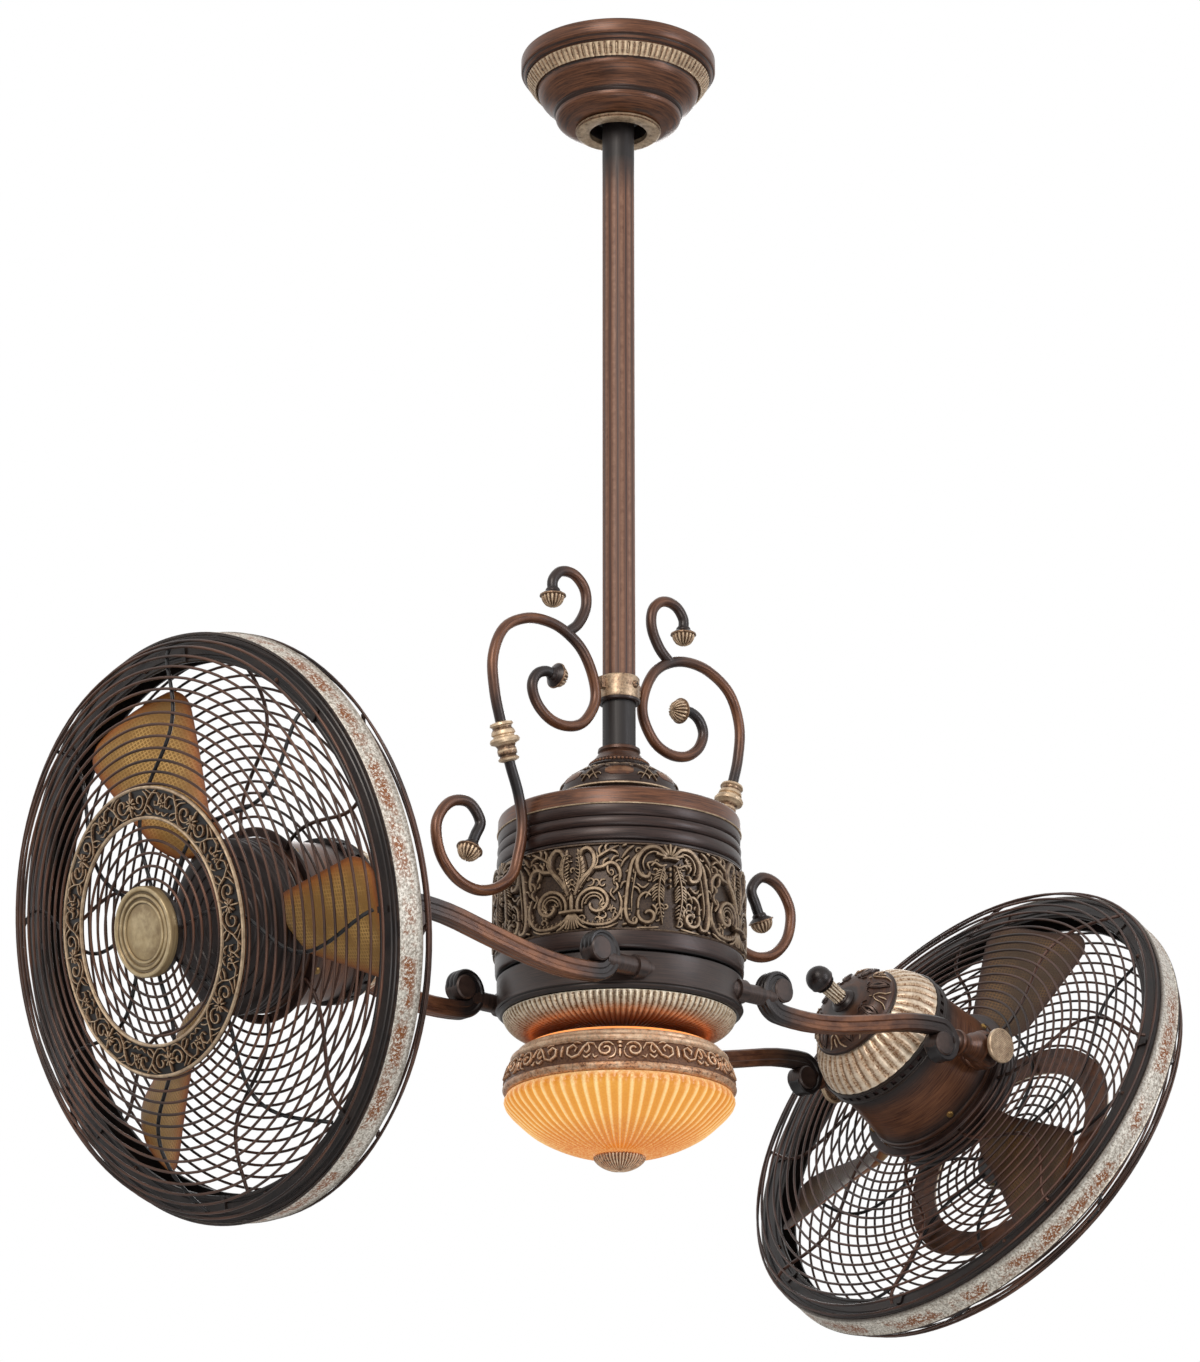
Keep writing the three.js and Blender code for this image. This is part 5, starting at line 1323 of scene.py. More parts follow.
def scroll_arm(word, place, side, hand):
    line = [(x, 0, z) for x, z in arm_line()]
    half = lambda t: ARM_DEEP / 2 * min(1.0, 0.5 + 4.2 * min(t, 1 - t))
    dark = lambda t: float(np.interp(t, [0, 0.20, 0.30, 0.62, 0.76, 1], [1, 0.95, 0.0, 0.0, 0.9, 1]))
    section = [(a, -b) for a, b in ARM_SECTION]
    parts = [bar("arm_bar", line, half, 0, copper, shade=dark, section=section, side=(0, 1, 0),
                 crease=30)]
    face = lambda x, z, r, wide: lay(turned(
        "volute_disc", [(0, -wide), (r - 1.2, -wide), (r, 1.2 - wide), (r, wide - 1.2), (r - 1.2, wide),
                        (0, wide)],
        40, satin), moved(x, 0, z) @ rotation(90, "X"))
    parts.append(face(REACH - CURL_BACK, -5.5, 10.6, 8.8))
    parts.append(face(CARRIER_R, 8, 10.4, 8.8))
    round_x = lambda label, outline, material, **more: lay(
        turned(label, outline, 40, material, **more), rotation(90, "Y"))
    wall = math.sqrt((CARRIER_R - 6) ** 2 - ARM_Y ** 2)
    stub = round_x("arm_stub", [(0, wall - 12), (8, wall - 12), (8, CARRIER_R - 8), (0, CARRIER_R - 8)],
                   satin)
    parts.append(lay(stub, moved(0, 0, 1)))
    start = REACH - CURL_BACK + 12
    neck = [(0, start), (7, start), (7, REACH - 40), (8.2, REACH - 39), (11.2, REACH - 38),
            (11.8, REACH - 36),
            (11.2, REACH - 34), (9.6, REACH - 32.6), (9.0, REACH - 30), (9.6, REACH - 24),
            (12.5, REACH - 17),
            (14, REACH - 10), (0, REACH - 10)]
    parts.append(round_x("arm_neck", neck, walnut, shade=lambda r, z: 0.9 if z < REACH - 39 else 0.3))
    low, high = -ARM_Y + 70, -ARM_Y + 92
    barrel = [(5, low), (13.5, low), (15.8, low + 2.0), (16.6, low + 4.0), (15.6, low + 5.4),
              (16.4, low + 7.0),
              *smooth([(17.0, low + 9), (17.4, low + 12.5), (16.6, low + 16.5), (14.2, low + 19.4)], 4),
              (12.6, high - 1.4), (12.4, high), (5, high)]
    boss = turned("arm_boss", barrel, 48, walnut, shade=lambda r, z: 0.2 if r > 14 else 0.8)
    parts.append(lay(boss, moved(REACH, 0, 0) @ rotation(-90, "X")))
    seat = moved(0, hand * ARM_Y, PIVOT_Z) @ Matrix.Diagonal((side, hand, 1, 1))
    settle(f"arm_{word}_{place}", parts, "carrier", seat)


def tilt_knob(word, place, side, hand):
    """Cast gilt knob on its screw, with a finely scored face."""
    seat = 92.3
    face = seat + 13.5
    outline = [(0, 60), (4.7, 60), (4.7, seat), (7.6, seat), (8.6, seat + 0.8), (8.4, seat + 3.4),
               *smooth([(9.0, seat + 5.0), (11.6, seat + 7.4), (14.6, seat + 8.8), (15.5, seat + 10.4)],
                       4),
               (15.5, face - 1.0), (14.8, face - 0.2), (0, face)]
    knob = turned("knob_head", outline, 64, gilded, crest=lambda r, z: 0.95 if z > seat + 9 else 0.6,
                  shade=lambda r, z: 0.6 if z < seat + 2 else 0.0)
    scores = []
    for k in range(-9, 10):
        reach = math.sqrt(14.2 ** 2 - (k * 1.5) ** 2)
        scores.append(([(-reach, k * 1.5), (0, k * 1.5), (reach, k * 1.5)], 0.7, 0.22, 0.9, 0.9))
    flat = lambda u, v, h: (u * 0.8 - v * 0.6, u * 0.6 + v * 0.8, face - 0.05 + h)
    knob_parts = [knob, strands("knob_scores", scores, flat, gilded)]
    turn = moved(side * REACH, 0, PIVOT_Z) @ rotation(-90 * hand, "X")
    node = f"tilt_knob_{word}_{place}"
    settle(node, knob_parts, node, turn)


# ---- heads
def head_matrix(word):
    """Head frame: Z along the fan's axis to the front, Y as the fan's, origin on the tilt axis."""
    axis = Vector(JOINT[f"fan_spin_{word}"]["axis"]).normalized()
    across = Vector((0, 1, 0))
    turn = Matrix((across.cross(axis), across, axis)).transposed().to_4x4()
    return Matrix.Translation(Vector(JOINT[f"head_tilt_{word}"]["pos_m"]) / MM) @ turn


def rear_finial(head, word):
    base = CAP_BACK - 0.3
    ball = base - 33.0
    knob = [(0, ball - 11.8), *arc(0, ball, 11.8, -84, 12, 12), (11.8, ball + 3.6), (11.2, ball + 4.6),
            (9.8, ball + 6.0),
            (9.4, ball + 8.4), (0, ball + 8.4)]
    shade = lambda r, z: 0.7 if z < ball + 2 else 0.1 if z < ball + 5 else 1.0
    parts = [turned("finial_ball", knob, 56, bronze, shade=shade)]
    stem = [(0, ball + 8.0), (8.0, ball + 8.0), (7.4, ball + 12), (6.9, base - 9), (7.4, base - 5),
            (0, base - 5)]
    stem = turned("finial_stem", stem, 96, leafed, crest=1.0, flute=[0, 1, 1, 1, 1, 0])
    parts.append(fluted(stem, 14, 1.6, narrowing=1.2))
    foot = [(0, base - 5.4), (8.0, base - 5.4), (9.0, base - 4.4), (8.6, base - 3.4), (10.6, base - 2.2),
            (12, base), (0, base)]
    parts.append(turned("finial_foot", foot, 56, bronze, shade=0.5))
    settle(f"rear_finial_{word}", parts, f"head_{word}", head)


def rear_cap(head, word):
    """Bronze cap with eight bell flowers in relief between raised leaves."""
    R, back, wide = 44.5, CAP_BACK, 19.7
    at = lambda r, h: (R * r, back + wide * h)
    curve = smooth([at(0.40, 0), at(0.58, 0.06), at(0.76, 0.20), at(0.88, 0.40), at(0.955, 0.64),
                    at(0.98, 0.84)], 5)
    outside = [at(0, 0), at(0.34, 0), *curve, at(1.01, 0.87), at(1.03, 0.92), at(1.0, 1)]
    inside = [at(0.93, 1), at(0.89, 0.54), at(0.73, 0.34), at(0, 0.15)]
    shade = [0.8, 0.8] + [0.0] * len(curve) + [0.8, 0.8, 0.8] + [1] * 4
    body = turned("cap_bowl", outside + inside, 120, walnut, shade=[0.6 + 0.4 * s for s in shade])
    inward = on_profile(curve, 36)
    length = sum(math.dist(a, b) for a, b in zip(curve, curve[1:]))
    face = lambda u, v, h: inward(u, length - v, h)
    bell = mirrored([
        ([(6.6, 4.0), (4.6, 7.0), (4.0, 10.5), (3.0, 14.0), (0.4, 16.6)], 1.6, 1.7, 0.9, 0.7),
        ([(6.6, 4.0), (8.2, 2.6)], 1.4, 1.5, 0.9, 0.5),
    ]) + [([(0, 5.0), (0, 8.0), (0, 12.0)], 2.0, 1.6, 0.5, 0.8),
          ([(0, 18.2), (0, 20.4)], 1.8, 1.5, 0.8, 0.8)]
    half_way = TURN * 36 / 16
    leaf = mirrored([
        ([(0.4, 24.0), (3.4, 19.0), (4.0, 13.0), (2.2, 8.0), (0.5, 4.0)], 1.4, 1.7, 0.5, 0.5),
        ([(0.6, 24), (5.0, 24.6), (8.6, 21.4)], 1.3, 1.5, 0.7, 0.3),
    ])
    bells = repeated(strands("cap_bells", bell, face, gilded), 8)
    leaves = repeated(strands("cap_leaves", shifted(leaf, half_way), face, bronze), 8)
    pod = mirrored([([(0, 22), (2.4, 15), (0, 7)], 4.2, 2.0, 0.4, 0.4)])
    pods = repeated(strands("cap_pods", shifted(pod, half_way), face, bronze), 8)
    parts = [body, bells, leaves, pods]
    settle(f"rear_cap_{word}", parts, f"head_{word}", head)


def rear_shell(head, word):
    low_r, high_r, back, wide = 44.5, 65.0, SHELL_BACK, 30.7
    at = lambda r, h, wall=0: (low_r + (high_r - low_r) * r - wall, back + wide * h)
    shape = [(0, 0), (0.3, 0.14), (0.58, 0.33), (0.8, 0.57), (0.93, 0.8), (1, 1)]
    curve = smooth([at(r, h) for r, h in shape], 5)
    inside = [at(r, h, 3.2) for r, h in ((1, 1), (0.86, 0.63), (0.54, 0.3), (0, 0))]
    count = len(curve)
    mask = [min(1.0, 5 * min(i, count - 1 - i) / count + 0.25) for i in range(count)] + [0.0] * 4
    shell = turned("shell_flutes", curve + inside, 40 * 11, leafed, crest=0.97, shade=0.22, flute=mask)
    shell = fluted(shell, 40, 2.7, pairing=0.25, narrowing=0.6)
    settle(f"rear_shell_{word}", [shell], f"head_{word}", head)


def vent_ring(head, word):
    """Steel ring pierced with square vents, with a dark red band behind them as painted shade of the
    inside.
    """
    R, back, front = 67.0, VENT_BACK, DRUM_BACK - 0.3
    rear_rim = [(R - 5, back), (R - 1, back), (R - 0.2, back + 0.8), (R - 0.8, back + 1.6),
                (R, back + 2.4),
                (R - 0.8, back + 3.2), (R - 1.2, back + 4.2), (R - 5, back + 4.2)]
    front_rim = [(R - 5, back + 8.4), (R - 1.2, back + 8.4), (R - 0.6, back + 9.2),
                 (R - 1.0, back + 10.2),
                 (R, back + 11.0), (R, front - 0.6), (R - 1, front), (R - 5, front)]
    mid = (back + front) / 2
    web = [(8.4, mid - 2), (R - 5, mid - 2), (R - 5, mid + 2), (8.4, mid + 2)]
    shade_band = [(R - 5, back + 3.6), (R - 3.6, back + 3.6), (R - 3.6, back + 9), (R - 5, back + 9)]
    parts = [turned("vent_rear_rim", rear_rim, 108, enamel, crest=0.6),
             turned("vent_front_rim", front_rim, 108, enamel, crest=0.6),
             turned("vent_web", web, 72, enamel), turned("vent_shade_band", shade_band, 108, vent_shade_red)]
    post = bar("vent_post", [(R - 1.3, 0, back + 3.8), (R - 1.3, 0, back + 8.8)], 1.0, 4, enamel,
               section=[(-1.9, -3.2), (-1.9, 3.2), (0.1, 3.0), (0.1, -3.0)], side=(0, 1, 0), crest=0.5)
    parts.append(repeated(post, 40))
    settle(f"vent_ring_{word}", parts, f"head_{word}", head)


def motor_housing(head, word):
    """Spun drum: brushed copper-brown cone, dark at both ends, then ridged dark bands."""
    front = DRUM_FRONT
    cone = smooth([(62.6, DRUM_BACK), (63.4, -28), (64.6, -14), (66.2, 2), (67.6, 14), (68.2, 20)], 6)
    ridges = []
    for z in (22.0, 27.4, 32.8):
        ridges += [(67.8, z), (69.2, z + 0.9), (69.4, z + 2.4), (69.2, z + 3.6), (68.8, z + 4.4)]
    inside = [(65.5, front), (64.5, 12), (58.5, DRUM_BACK)]
    outline = cone + ridges + [(69.0, front)] + inside
    shade = [float(np.interp(z, [-36, -30, -18, -4, 8, 19], [1.0, 0.85, 0.2, 0.0, 0.1, 0.8])) for r,
             z in cone]
    shade += [0.95 if r < 68.6 else 0.55 for r, z in ridges] + [0.9] * 4
    parts = [turned("drum_cone", outline, 108, copper, shade=shade, streak=1.0)]
    for side in (1, -1):
        pad = turned("pivot_pad", [(5, 56), (12, 56), (12.6, 66), (12.6, 68.6), (11.8, 69.6), (5, 69.6)],
                     40, copper, shade=0.3)
        parts.append(lay(pad, rotation(-90 * side, "X")))
    screw = turned("drum_screw", [(0, 2.0), (2.2, 1.8), (3.2, 0.6), (3.2, -1.5), (0, -1.5)], 24, brass)
    screw = lay(screw, moved(68.0, 0, 18) @ rotation(90, "Y"))
    parts.append(lay(repeated(screw, 4), rotation(-43)))
    settle(f"motor_housing_{word}", parts, f"head_{word}", head)


def guard_band(head, word):
    """Rolled steel band: crackled silver with a rubbed lip on each edge."""
    R, low, high = CAGE_R, CAGE_BACK, CAGE_FRONT
    wide = high - low
    steps = 14
    skin = [(R - 0.6 + 0.6 * math.sin(math.pi * i / steps),
             low + 1.6 + (wide - 3.2) * i / steps) for i in range(steps + 1)]
    outline = [(R - 2, low + 0.2), (R - 0.4, low), (R + 0.3, low + 0.8), *skin, (R + 0.3, high - 0.8),
               (R - 0.4, high),
               (R - 2, high - 0.2)]
    share = lambda z: (z - low) / wide
    # painted shade: greyer towards the rear edge, and darkest on the edges rolled inward
    shade = [max(0.0, 0.75 - 3.6 * share(z)) if r > R - 1 else 0.9 for r, z in outline]
    middle = [float(np.interp(share(z), [0.2, 0.42, 0.75, 0.95], [0.0, 1.0, 1.0, 0.15])) for r,
              z in outline]
    band = turned("band_skin", outline, 200, silver, crest=middle, shade=shade)
    lip = turned("band_lip", [(R - 1.6, high - 0.1), (R + 0.1, high - 0.1), (R + 0.2, high + 0.7),
                              (R - 1.4, high + 0.8)],
                 200, enamel, crest=0.8)
    settle(f"guard_band_{word}", [band, lip], f"head_{word}", head)


def rise(radius, deep):
    """Height of a guard's wires over its rim. The rear guard bellies out to the band."""
    power, edge = (REAR_POWER, CAGE_R - 1) if deep == REAR_DEEP else (GUARD_POWER, CAGE_R - 5)
    return deep * (1 - (min(radius, edge) / edge) ** power) ** (1 / power)


def hoop_stations(outer, inner, face, way, deep):
    """(radius, station) of hoops a wire pitch apart along the guard's curve."""
    fine = [outer + (inner - outer) * i / 800 for i in range(801)]
    points = [(r, face + way * rise(r, deep)) for r in fine]
    length = sum(math.dist(a, b) for a, b in zip(points, points[1:]))
    count = round(length / WIRE_PITCH)
    out, run = [points[0]], 0.0
    for a, b in zip(points, points[1:]):
        run += math.dist(a, b)
        if run >= length * len(out) / count and len(out) < count:
            out.append(b)
    out.append(points[-1])
    return out


def spoke_path(outer, inner, face, way, deep, swing, phase, under=0.0):
    points = []
    for i in range(33):
        r = outer + (inner - outer) * i / 32
        a = math.radians(phase + swing * math.sin(TURN * (max(220 - r, 0) / 190) ** 1.2))
        z = face + way * (rise(r, deep) - under)
        points.append((r * math.cos(a), r * math.sin(a), z))
    return points


def guard_rim(face, way):
    """Pressed rim inside the band: four ridges, its thickness to the inside."""
    out = CAGE_R - 2.6
    thick = 2.0
    points = [(out, face - way * thick), (out, face)]
    crest = [0.3, 0.9]
    for r, wide in ((out - 1.0, 2.4), (out - 6.0, 8.6), (RIM_IN + 3.4, 2.2)):
        points += [(r, face + way * 0.1), (r - 0.7, face + way * 0.9), (r - wide, face + way * 1.0),
                   (r - wide - 0.7, face - way * 0.1)]
        crest += [0.3, 0.66, 0.62, 0.2]
    points += [(RIM_IN, face), (RIM_IN, face - way * thick)]
    crest += [0.7, 0.3]
    return turned("rim_ridges", points, 180, enamel, crest=crest)


def rim_trim(face, way, phase):
    """Clip tabs at the spoke ends and small rivets between them."""
    tab = bar("rim_tab", [(209, 0, face + way * 1.6), (221, 0, face + way * 1.9)], 1.0, 4, enamel,
              section=[(-0.7, -2.4), (-0.7, 2.4), (0.7, 2.4), (0.7, -2.4)], side=(0, 1, 0))
    tabs = lay(repeated(tab, 8), rotation(phase))
    rivet = turned("rim_rivet", [(0, 1.9), (1.3, 1.5), (1.9, 0.3), (1.9, -0.8), (0, -0.8)], 14,
                   brown_wire)
    flip = rotation(0 if way > 0 else 180, "X")
    rivet = lay(rivet, moved(213.5, 0, face + way * 0.6) @ flip)
    rivets = lay(repeated(rivet, 8), rotation(phase + 14))
    return [tabs, rivets]


def front_guard(head, word):
    face, deep = CAGE_FRONT, FRONT_DEEP
    over = MEDAL_BACK - 3.2
    wires = hoop_stations(224.5, FILIGREE_R + 1.5, face, 1, deep)
    wires += hoop_stations(FILIGREE_R - FILIGREE_W - 6.5, 40.5, face, 1, deep)
    wires += [(31.0, face + rise(31, deep))]
    parts = [guard_rim(face, 1), hoops("front_hoops", wires, WIRE_R, brown_wire, steps=112)]
    path = spoke_path(220, 30, face, 1, deep, -9.5, -7.5, under=WIRE_R + SPOKE_R)
    parts.append(spokes("front_spokes", path, SPOKE_R, 8, black_wire))
    hub = [(0, over - 1.2), (34, over - 1.2), (34.5, over), (34, MEDAL_BACK - 0.4),
           (0, MEDAL_BACK - 0.4)]
    parts.append(turned("front_hub_plate", hub, 64, enamel))
    parts += rim_trim(face, 1, -7.5)
    settle(f"front_guard_{word}", parts, f"head_{word}", head)


def rear_guard(head, word):
    face, deep = CAGE_BACK, REAR_DEEP
    wires = hoop_stations(229.4, DRUM_R + 7, face, -1, deep)
    parts = [guard_rim(face, -1), hoops("rear_hoops", wires, WIRE_R, dark_wire, steps=112)]
    phase = -5.0 if word == "right" else -11.0
    path = spoke_path(226, DRUM_R + 3, face, -1, deep, -10.0, phase, under=WIRE_R + SPOKE_R)
    parts.append(spokes("rear_spokes", path, SPOKE_R, 8, dark_wire))
    inner = DRUM_R + 0.6
    seat = face - rise(inner, deep)
    foot = [(inner, seat - 1.5), (inner + 6, seat - 1.5), (inner + 7, seat), (inner + 6, seat + 1.5),
            (inner, seat + 1.5)]
    parts.append(turned("rear_guard_foot", foot, 96, bronze))
    parts += rim_trim(face, -1, phase)
    settle(f"rear_guard_{word}", parts, f"head_{word}", head)


def filigree_ring(head, word):
    """Cast ring on the front guard: gilded scrolls and rosettes over a black ground."""
    R, W = FILIGREE_R, FILIGREE_W
    lying = lambda r: CAGE_FRONT + rise(r, FRONT_DEEP) + 1.7
    plate = lambda low, high: [(R - W, lying(R - W) + low), (R, lying(R) + low), (R, lying(R) + high),
                               (R - W, lying(R - W) + high)]
    parts = [turned("ring_back", plate(0, 0.8), 144, walnut, crest=0.5),
             turned("ring_ground", plate(0.8, 1.6), 144, enamel, crest=0.1)]
    for r in (R - W + 1.1, R - 1.1):
        top = lying(r) + 1.4
        parts.append(turned("ring_border", [(r - 1.3, top), (r - 1.0, top + 1.6), (r, top + 2.3),
            (r + 1.0, top + 1.6),
                                            (r + 1.3, top)], 144, gilded, crest=0.95))
    mid = R - W / 2
    face = on_profile([(R - W + 2, lying(R - W + 2) + 1.5), (R - 2, lying(R - 2) + 1.5)][::-1], mid)
    wide = math.dist((R - W + 2, lying(R - W + 2)), (R - 2, lying(R - 2)))
    c = wide / 2
    period = TURN * mid / 8
    half = [
        (coil(10.8, c - 1.2, 7.2, 1.6, 160, -250, 20), 1.9, 2.6, 0.5, 0.6),
        ([(3.5, c + 6.5), (7, c + 9.6), (13, c + 9.4), (18.5, c + 5), (22, c - 2), (26.5, c - 7.5),
          (32, c - 7.6),
          (35.5, c - 3.5), (34.5, c + 1.6), (30.6, c + 2.0), (29.4, c - 1.4)], 1.9, 2.6, 0.5, 0.6),
        ([(18.5, c + 5), (22, c + 8.8), (27, c + 9.2)], 1.7, 2.4, 0.7, 0.3),
        ([(20, c + 2), (25, c + 4.6), (28, c + 8)], 1.7, 2.4, 0.7, 0.3),
        ([(22, c - 2), (18.6, c - 6.5), (14, c - 9.2)], 1.7, 2.4, 0.7, 0.3),
        ([(25, c - 6.6), (21, c - 8.8), (17.5, c - 10)], 1.5, 2.2, 0.6, 0.3),
        ([(35.5, c - 3.5), (38.2, c - 8.4)], 1.6, 2.2, 0.7, 0.4),
        ([(31, c + 5.4), (35, c + 8.6), (38.6, c + 6.4)], 1.6, 2.2, 0.5, 0.5),
        ([(26.5, c - 7.5), (29, c - 10)], 1.4, 2.0, 0.7, 0.4),
    ]
    lines = mirrored(half)
    lines += fan(0, c, 1.2, 5.6, 0, 315, 8, 2.2, 3.0)
    lines += [([(0, c + 5), (0, c + 10)], 2.2, 2.6, 0.7, 0.4),
              ([(0, c - 5), (0, c - 10)], 2.2, 2.6, 0.7, 0.4)]
    lines += shifted(fan(0, 0, 0.8, 3.6, 0, 288, 5, 1.8, 2.6), period / 2, c)
    scrolls = strands("ring_scrolls", lines, face, gilded, 0.9)
    parts.append(repeated(scrolls, 8))
    settle(f"filigree_ring_{word}", parts, f"head_{word}", head)


def medallion(head, word):
    """Cast boss with stepped rings round a bare, slightly domed field."""
    R, back, front = MEDAL_R, MEDAL_BACK, MEDAL_BACK + MEDAL_T
    steps = [(35.5, front - 1.4, 0.6), (34.8, front - 0.3, 0.95), (33.4, front, 1.0),
             (32.0, front - 0.4, 0.8),
             (31.2, front - 1.8, 0.2), (29.8, front - 2.0, 0.4), (29.2, front - 0.9, 0.9),
             (27.4, front - 0.8, 0.9),
             (26.8, front - 2.2, 0.2), (24.8, front - 2.4, 0.5), (24.2, front - 1.2, 0.95),
             (22.8, front - 1.1, 0.95),
             (22.2, front - 2.5, 0.2), (20.6, front - 2.4, 0.7), (12, front - 1.9, 0.9),
             (5, front - 1.7, 0.9),
             (0, front - 1.6, 0.9)]
    outline = [(0, back), (R - 1.5, back), (R, back + 1.2)] + [(r, z) for r, z, c in steps]
    crest = [0.3, 0.3, 0.4] + [c for r, z, c in steps]
    boss = turned("medallion_boss", outline, 96, turned_brass, crest=crest)
    settle(f"medallion_{word}", [boss], f"head_{word}", head)


def rotor_hub(head, word):
    back, front = DRUM_FRONT + 0.8, HUB_FRONT
    side = [(65.5, back), (DRUM_R - 0.6, back)]
    for k in range(4):
        z = back + 0.8 + 4.8 * k
        side += [(DRUM_R - 1.4, z), (DRUM_R - 0.2, z + 0.9), (DRUM_R - 0.2, z + 3.2),
                 (DRUM_R - 1.4, z + 4.1)]
    nose = [(66, front - 0.6), (62, front)]
    for r in (56, 46, 36, 26):
        nose += [(r + 1, front), (r, front - 1.2), (r - 1, front)]
    nose += [(0, front)]
    hidden = [(0, VENT_BACK - 4), (8, VENT_BACK - 4), (8, -22), (50, -22), (50, 12), (20, 12),
              (20, front - 12), (65.5, front - 12)]
    outline = hidden + side + nose
    shade = [0.9] * len(hidden) + [0.75 if r < DRUM_R - 1 else 0.2 for r, z in side] + [0.5] * len(nose)
    hub = turned("hub_drum", outline, 96, bronze, shade=shade)
    settle(f"rotor_hub_{word}", [hub], f"rotor_{word}", head)


def blade(head, word, number):
    """Moulded twisted blade: 30 degrees of pitch at the root, 18 at the tip, rounded corners."""
    node = f"blade_{word}_{number}"
    low, high = 21.0, 57.0
    root, tip, thick, station = 68.9, BLADE_R, 2.0, 64.0
    corner = 26.0
    rows, across = 30, 17
    centre = blade_angle(head, node)
    corners, grains, edges = [], [], []
    for i in range(rows):
        t = i / (rows - 1)
        t = 1 - (1 - t) ** 1.5
        r = root + (tip - root) * t
        wide = low + (high - low) * t
        into = max(0.0, r - (tip - corner)) / corner
        half = wide - corner * (1 - math.sqrt(max(1 - into ** 2, 0)))
        half = half * min(1.0, 0.45 + 2.2 * (r - root) / 30)
        seat = (DRUM_FRONT + HUB_FRONT) / 2
        s = seat + (station - seat) * min(1.0, (r - root) / 22)
        pitch = math.radians(ROOT_PITCH + (TIP_PITCH - ROOT_PITCH) * t)
        for face in (1, -1):
            for j in range(across):
                w = 2 * j / (across - 1) - 1
                chord = half * w
                rim = min(1.0, (1 - abs(w)) * 6)
                lift = 5 * (1 - w * w) + face * thick / 2 * (0.35 + 0.65 * rim)
                corners.append((r, chord * math.cos(pitch) - lift * math.sin(pitch),
                                s + chord * math.sin(pitch) + lift * math.cos(pitch)))
                grains.append((chord, r, 0))
                near = min(half * (1 - abs(w)), max(tip - r, 0) * 1.3)
                edges.append(max(0.0, 1 - near / 17) ** 1.6)
    at = lambda i, face, j: (i * 2 + face) * across + j
    faces, kinds = [], []
    for i in range(rows - 1):
        for j in range(across - 1):
            faces.append((at(i, 0, j), at(i + 1, 0, j), at(i + 1, 0, j + 1), at(i, 0, j + 1)))
            faces.append((at(i, 1, j), at(i, 1, j + 1), at(i + 1, 1, j + 1), at(i + 1, 1, j)))
            kinds += [0, 1]
        for j in (0, across - 1):
            faces.append((at(i, 0, j), at(i, 1, j), at(i + 1, 1, j), at(i + 1, 0, j)))
            kinds.append(0)
    for i in (0, rows - 1):
        for j in range(across - 1):
            faces.append((at(i, 0, j), at(i, 0, j + 1), at(i, 1, j + 1), at(i, 1, j)))
            kinds.append(0)
    paddle = make("paddle", corners, faces, [woven_gold, woven_dark], shade=edges, grain=grains,
                  face_material=kinds)
    turn = head @ Matrix.Rotation(centre, 4, "Z")
    settle(node, [paddle], f"rotor_{word}", turn)


def blade_angle(head, node):
    """Angle of a CAD blade about the head's axis, from the middle of its corners."""
    mesh = frame["nodes"][node].data
    middle = sum((v.co for v in mesh.vertices), Vector()) / len(mesh.vertices) / MM
    local = head.inverted() @ middle
    return math.atan2(local.y, local.x)


# ---- what stays as the solids have it
def dress_plain_nodes():
    for name, material in (("hanger_bracket", zinc), ("hanger_ball", bronze), ("turning_motor", zinc),
                           ("centre_shaft", zinc), ("fitter_plate", zinc),
                           ("lamp_socket_right", porcelain),
                           ("lamp_socket_left", porcelain)):
        node = frame["nodes"][name]
        node.data.materials.clear()
        node.data.materials.append(material)


def lamp(word):
    low, high = zed(f"lamp_{word}")
    low_corner, high_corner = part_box(f"lamp_{word}")
    x = (low_corner.x + high_corner.x) / 2 / MM
    length = high - low
    outline = [(0, low), *smooth([(3, low + 0.4), (8.6, low + length * 0.12), (11.4, low + length * 0.3),
                                  (11.6, low + length * 0.5), (8.6, low + length * 0.72),
                                  (6.8, low + length * 0.86)], 4),
               (6.6, high), (0, high)]
    glass = lay(turned("bulb_glass", outline, 40, bulb), moved(x, 0, 0))
    settle(f"lamp_{word}", [glass], "column")


# ---- room and light
def white_to_the_eye(tree, seen, else_shader):
    """Shows white to camera, glossy and transmitted rays, and the shader to all others."""
    path = put(tree, "ShaderNodeLightPath")
    views = [path.outputs[name] for name in ("Is Camera Ray", "Is Glossy Ray", "Is Transmission Ray")]
    both = put(tree, "ShaderNodeMath", {0: views[0], 1: views[1]}, operation="MAXIMUM").outputs[0]
    either = put(tree, "ShaderNodeMath", {0: both, 1: views[2]}, operation="MAXIMUM").outputs[0]
    return put(tree, "ShaderNodeMixShader", {0: either, 1: else_shader.outputs[0], 2: seen.outputs[0]})


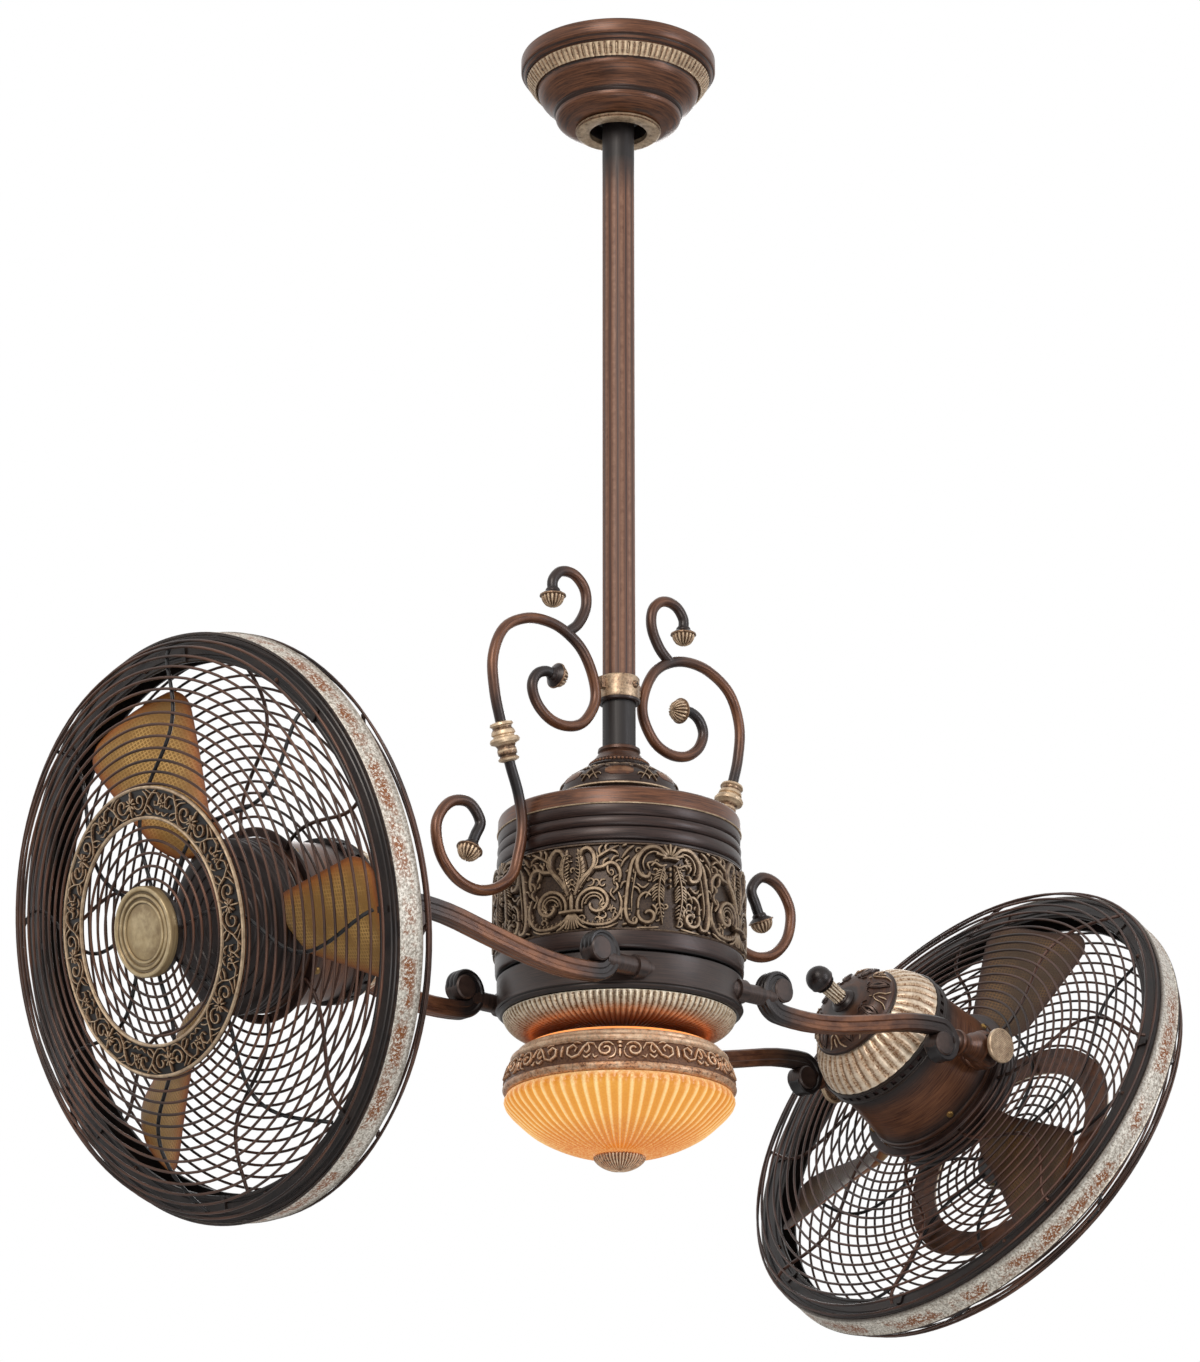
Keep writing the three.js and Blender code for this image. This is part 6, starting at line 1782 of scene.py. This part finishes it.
def set_room():
    world = bpy.data.worlds.new("studio")
    world.use_nodes = True
    tree = world.node_tree
    tree.nodes.clear()
    seen = put(tree, "ShaderNodeBackground", {"Color": linear("#ffffff"), "Strength": 1.0})
    light = put(tree, "ShaderNodeBackground", {"Color": linear("#f2f4f8"), "Strength": 0.45})
    put(tree, "ShaderNodeOutputWorld", {"Surface": white_to_the_eye(tree, seen, light).outputs[0]})
    bpy.context.scene.world = world

    size, depth = 30.0, -2.7
    mesh = bpy.data.meshes.new("studio_floor")
    mesh.from_pydata([(-size, -size, depth), (size, -size, depth), (size, size, depth),
                      (-size, size, depth)],
                     [], [(0, 1, 2, 3)])
    material, tree = blank_material("pale_floor")
    shader = put(tree, "ShaderNodeBsdfPrincipled", {"Base Color": linear("#e8e8e6"), "Roughness": 0.9})
    mesh.materials.append(close_material(material, tree, shader))
    floor = bpy.data.objects.new("studio_floor", mesh)
    bpy.context.collection.objects.link(floor)


def set_lamp(name, place, aim, size, energy, colour):
    light = bpy.data.lights.new(name, "AREA")
    light.shape = "RECTANGLE"
    light.size, light.size_y = size
    light.energy = energy
    light.color = linear(colour)[:3]
    obj = bpy.data.objects.new(name, light)
    way = Vector(aim) - Vector(place)
    obj.matrix_world = Matrix.Translation(place) @ way.to_track_quat("-Z", "Y").to_matrix().to_4x4()
    bpy.context.collection.objects.link(obj)


def set_light():
    middle = (0, 0, -0.75)
    set_lamp("key_softbox", (-2.6, -1.6, 0.9), middle, (1.2, 1.6), 60, "#fff8f0")
    set_lamp("side_softbox", (1.2, -3.0, -0.2), middle, (0.8, 1.8), 34, "#f6f8ff")
    set_lamp("low_softbox", (-1.6, -2.2, -2.3), middle, (1.4, 1.0), 18, "#ffffff")
    set_lamp("rim_softbox", (2.4, 2.4, 0.6), middle, (1.2, 1.6), 24, "#ffffff")
    glow = bpy.data.lights.new("lamp_light", "POINT")
    glow.energy = 2.2
    glow.color = linear("#ffb46a")[:3]
    glow.shadow_soft_size = 0.012
    bulb_light = bpy.data.objects.new("lamp_light", glow)
    bulb_light.location = (0, 0, (FITTER_TOP - 26) * MM)
    bpy.context.collection.objects.link(bulb_light)


# ---- assembly
set_camera()
for piece in (canopy, canopy_collar, downrod, rod_collar, coupling_dome, housing_cap, housing_shell,
              scroll_band, light_fitter, glass_bowl, glass_finial, carrier_ring, under_pan):
    piece()
dress_plain_nodes()
for word, side in (("right", 1), ("left", -1)):
    wrought_scroll(word, side)
    lamp(word)
    for place, hand in (("back", 1), ("front", -1)):
        scroll_arm(word, place, side, hand)
        tilt_knob(word, place, side, hand)
    head = head_matrix(word)
    for piece in (rear_finial, rear_cap, rear_shell, vent_ring, motor_housing, guard_band, rear_guard,
                  front_guard, filigree_ring, medallion, rotor_hub):
        piece(head, word)
    for number in (1, 2, 3):
        blade(head, word, number)
set_room()
set_light()
bpy.context.scene.view_settings.view_transform = "Standard"
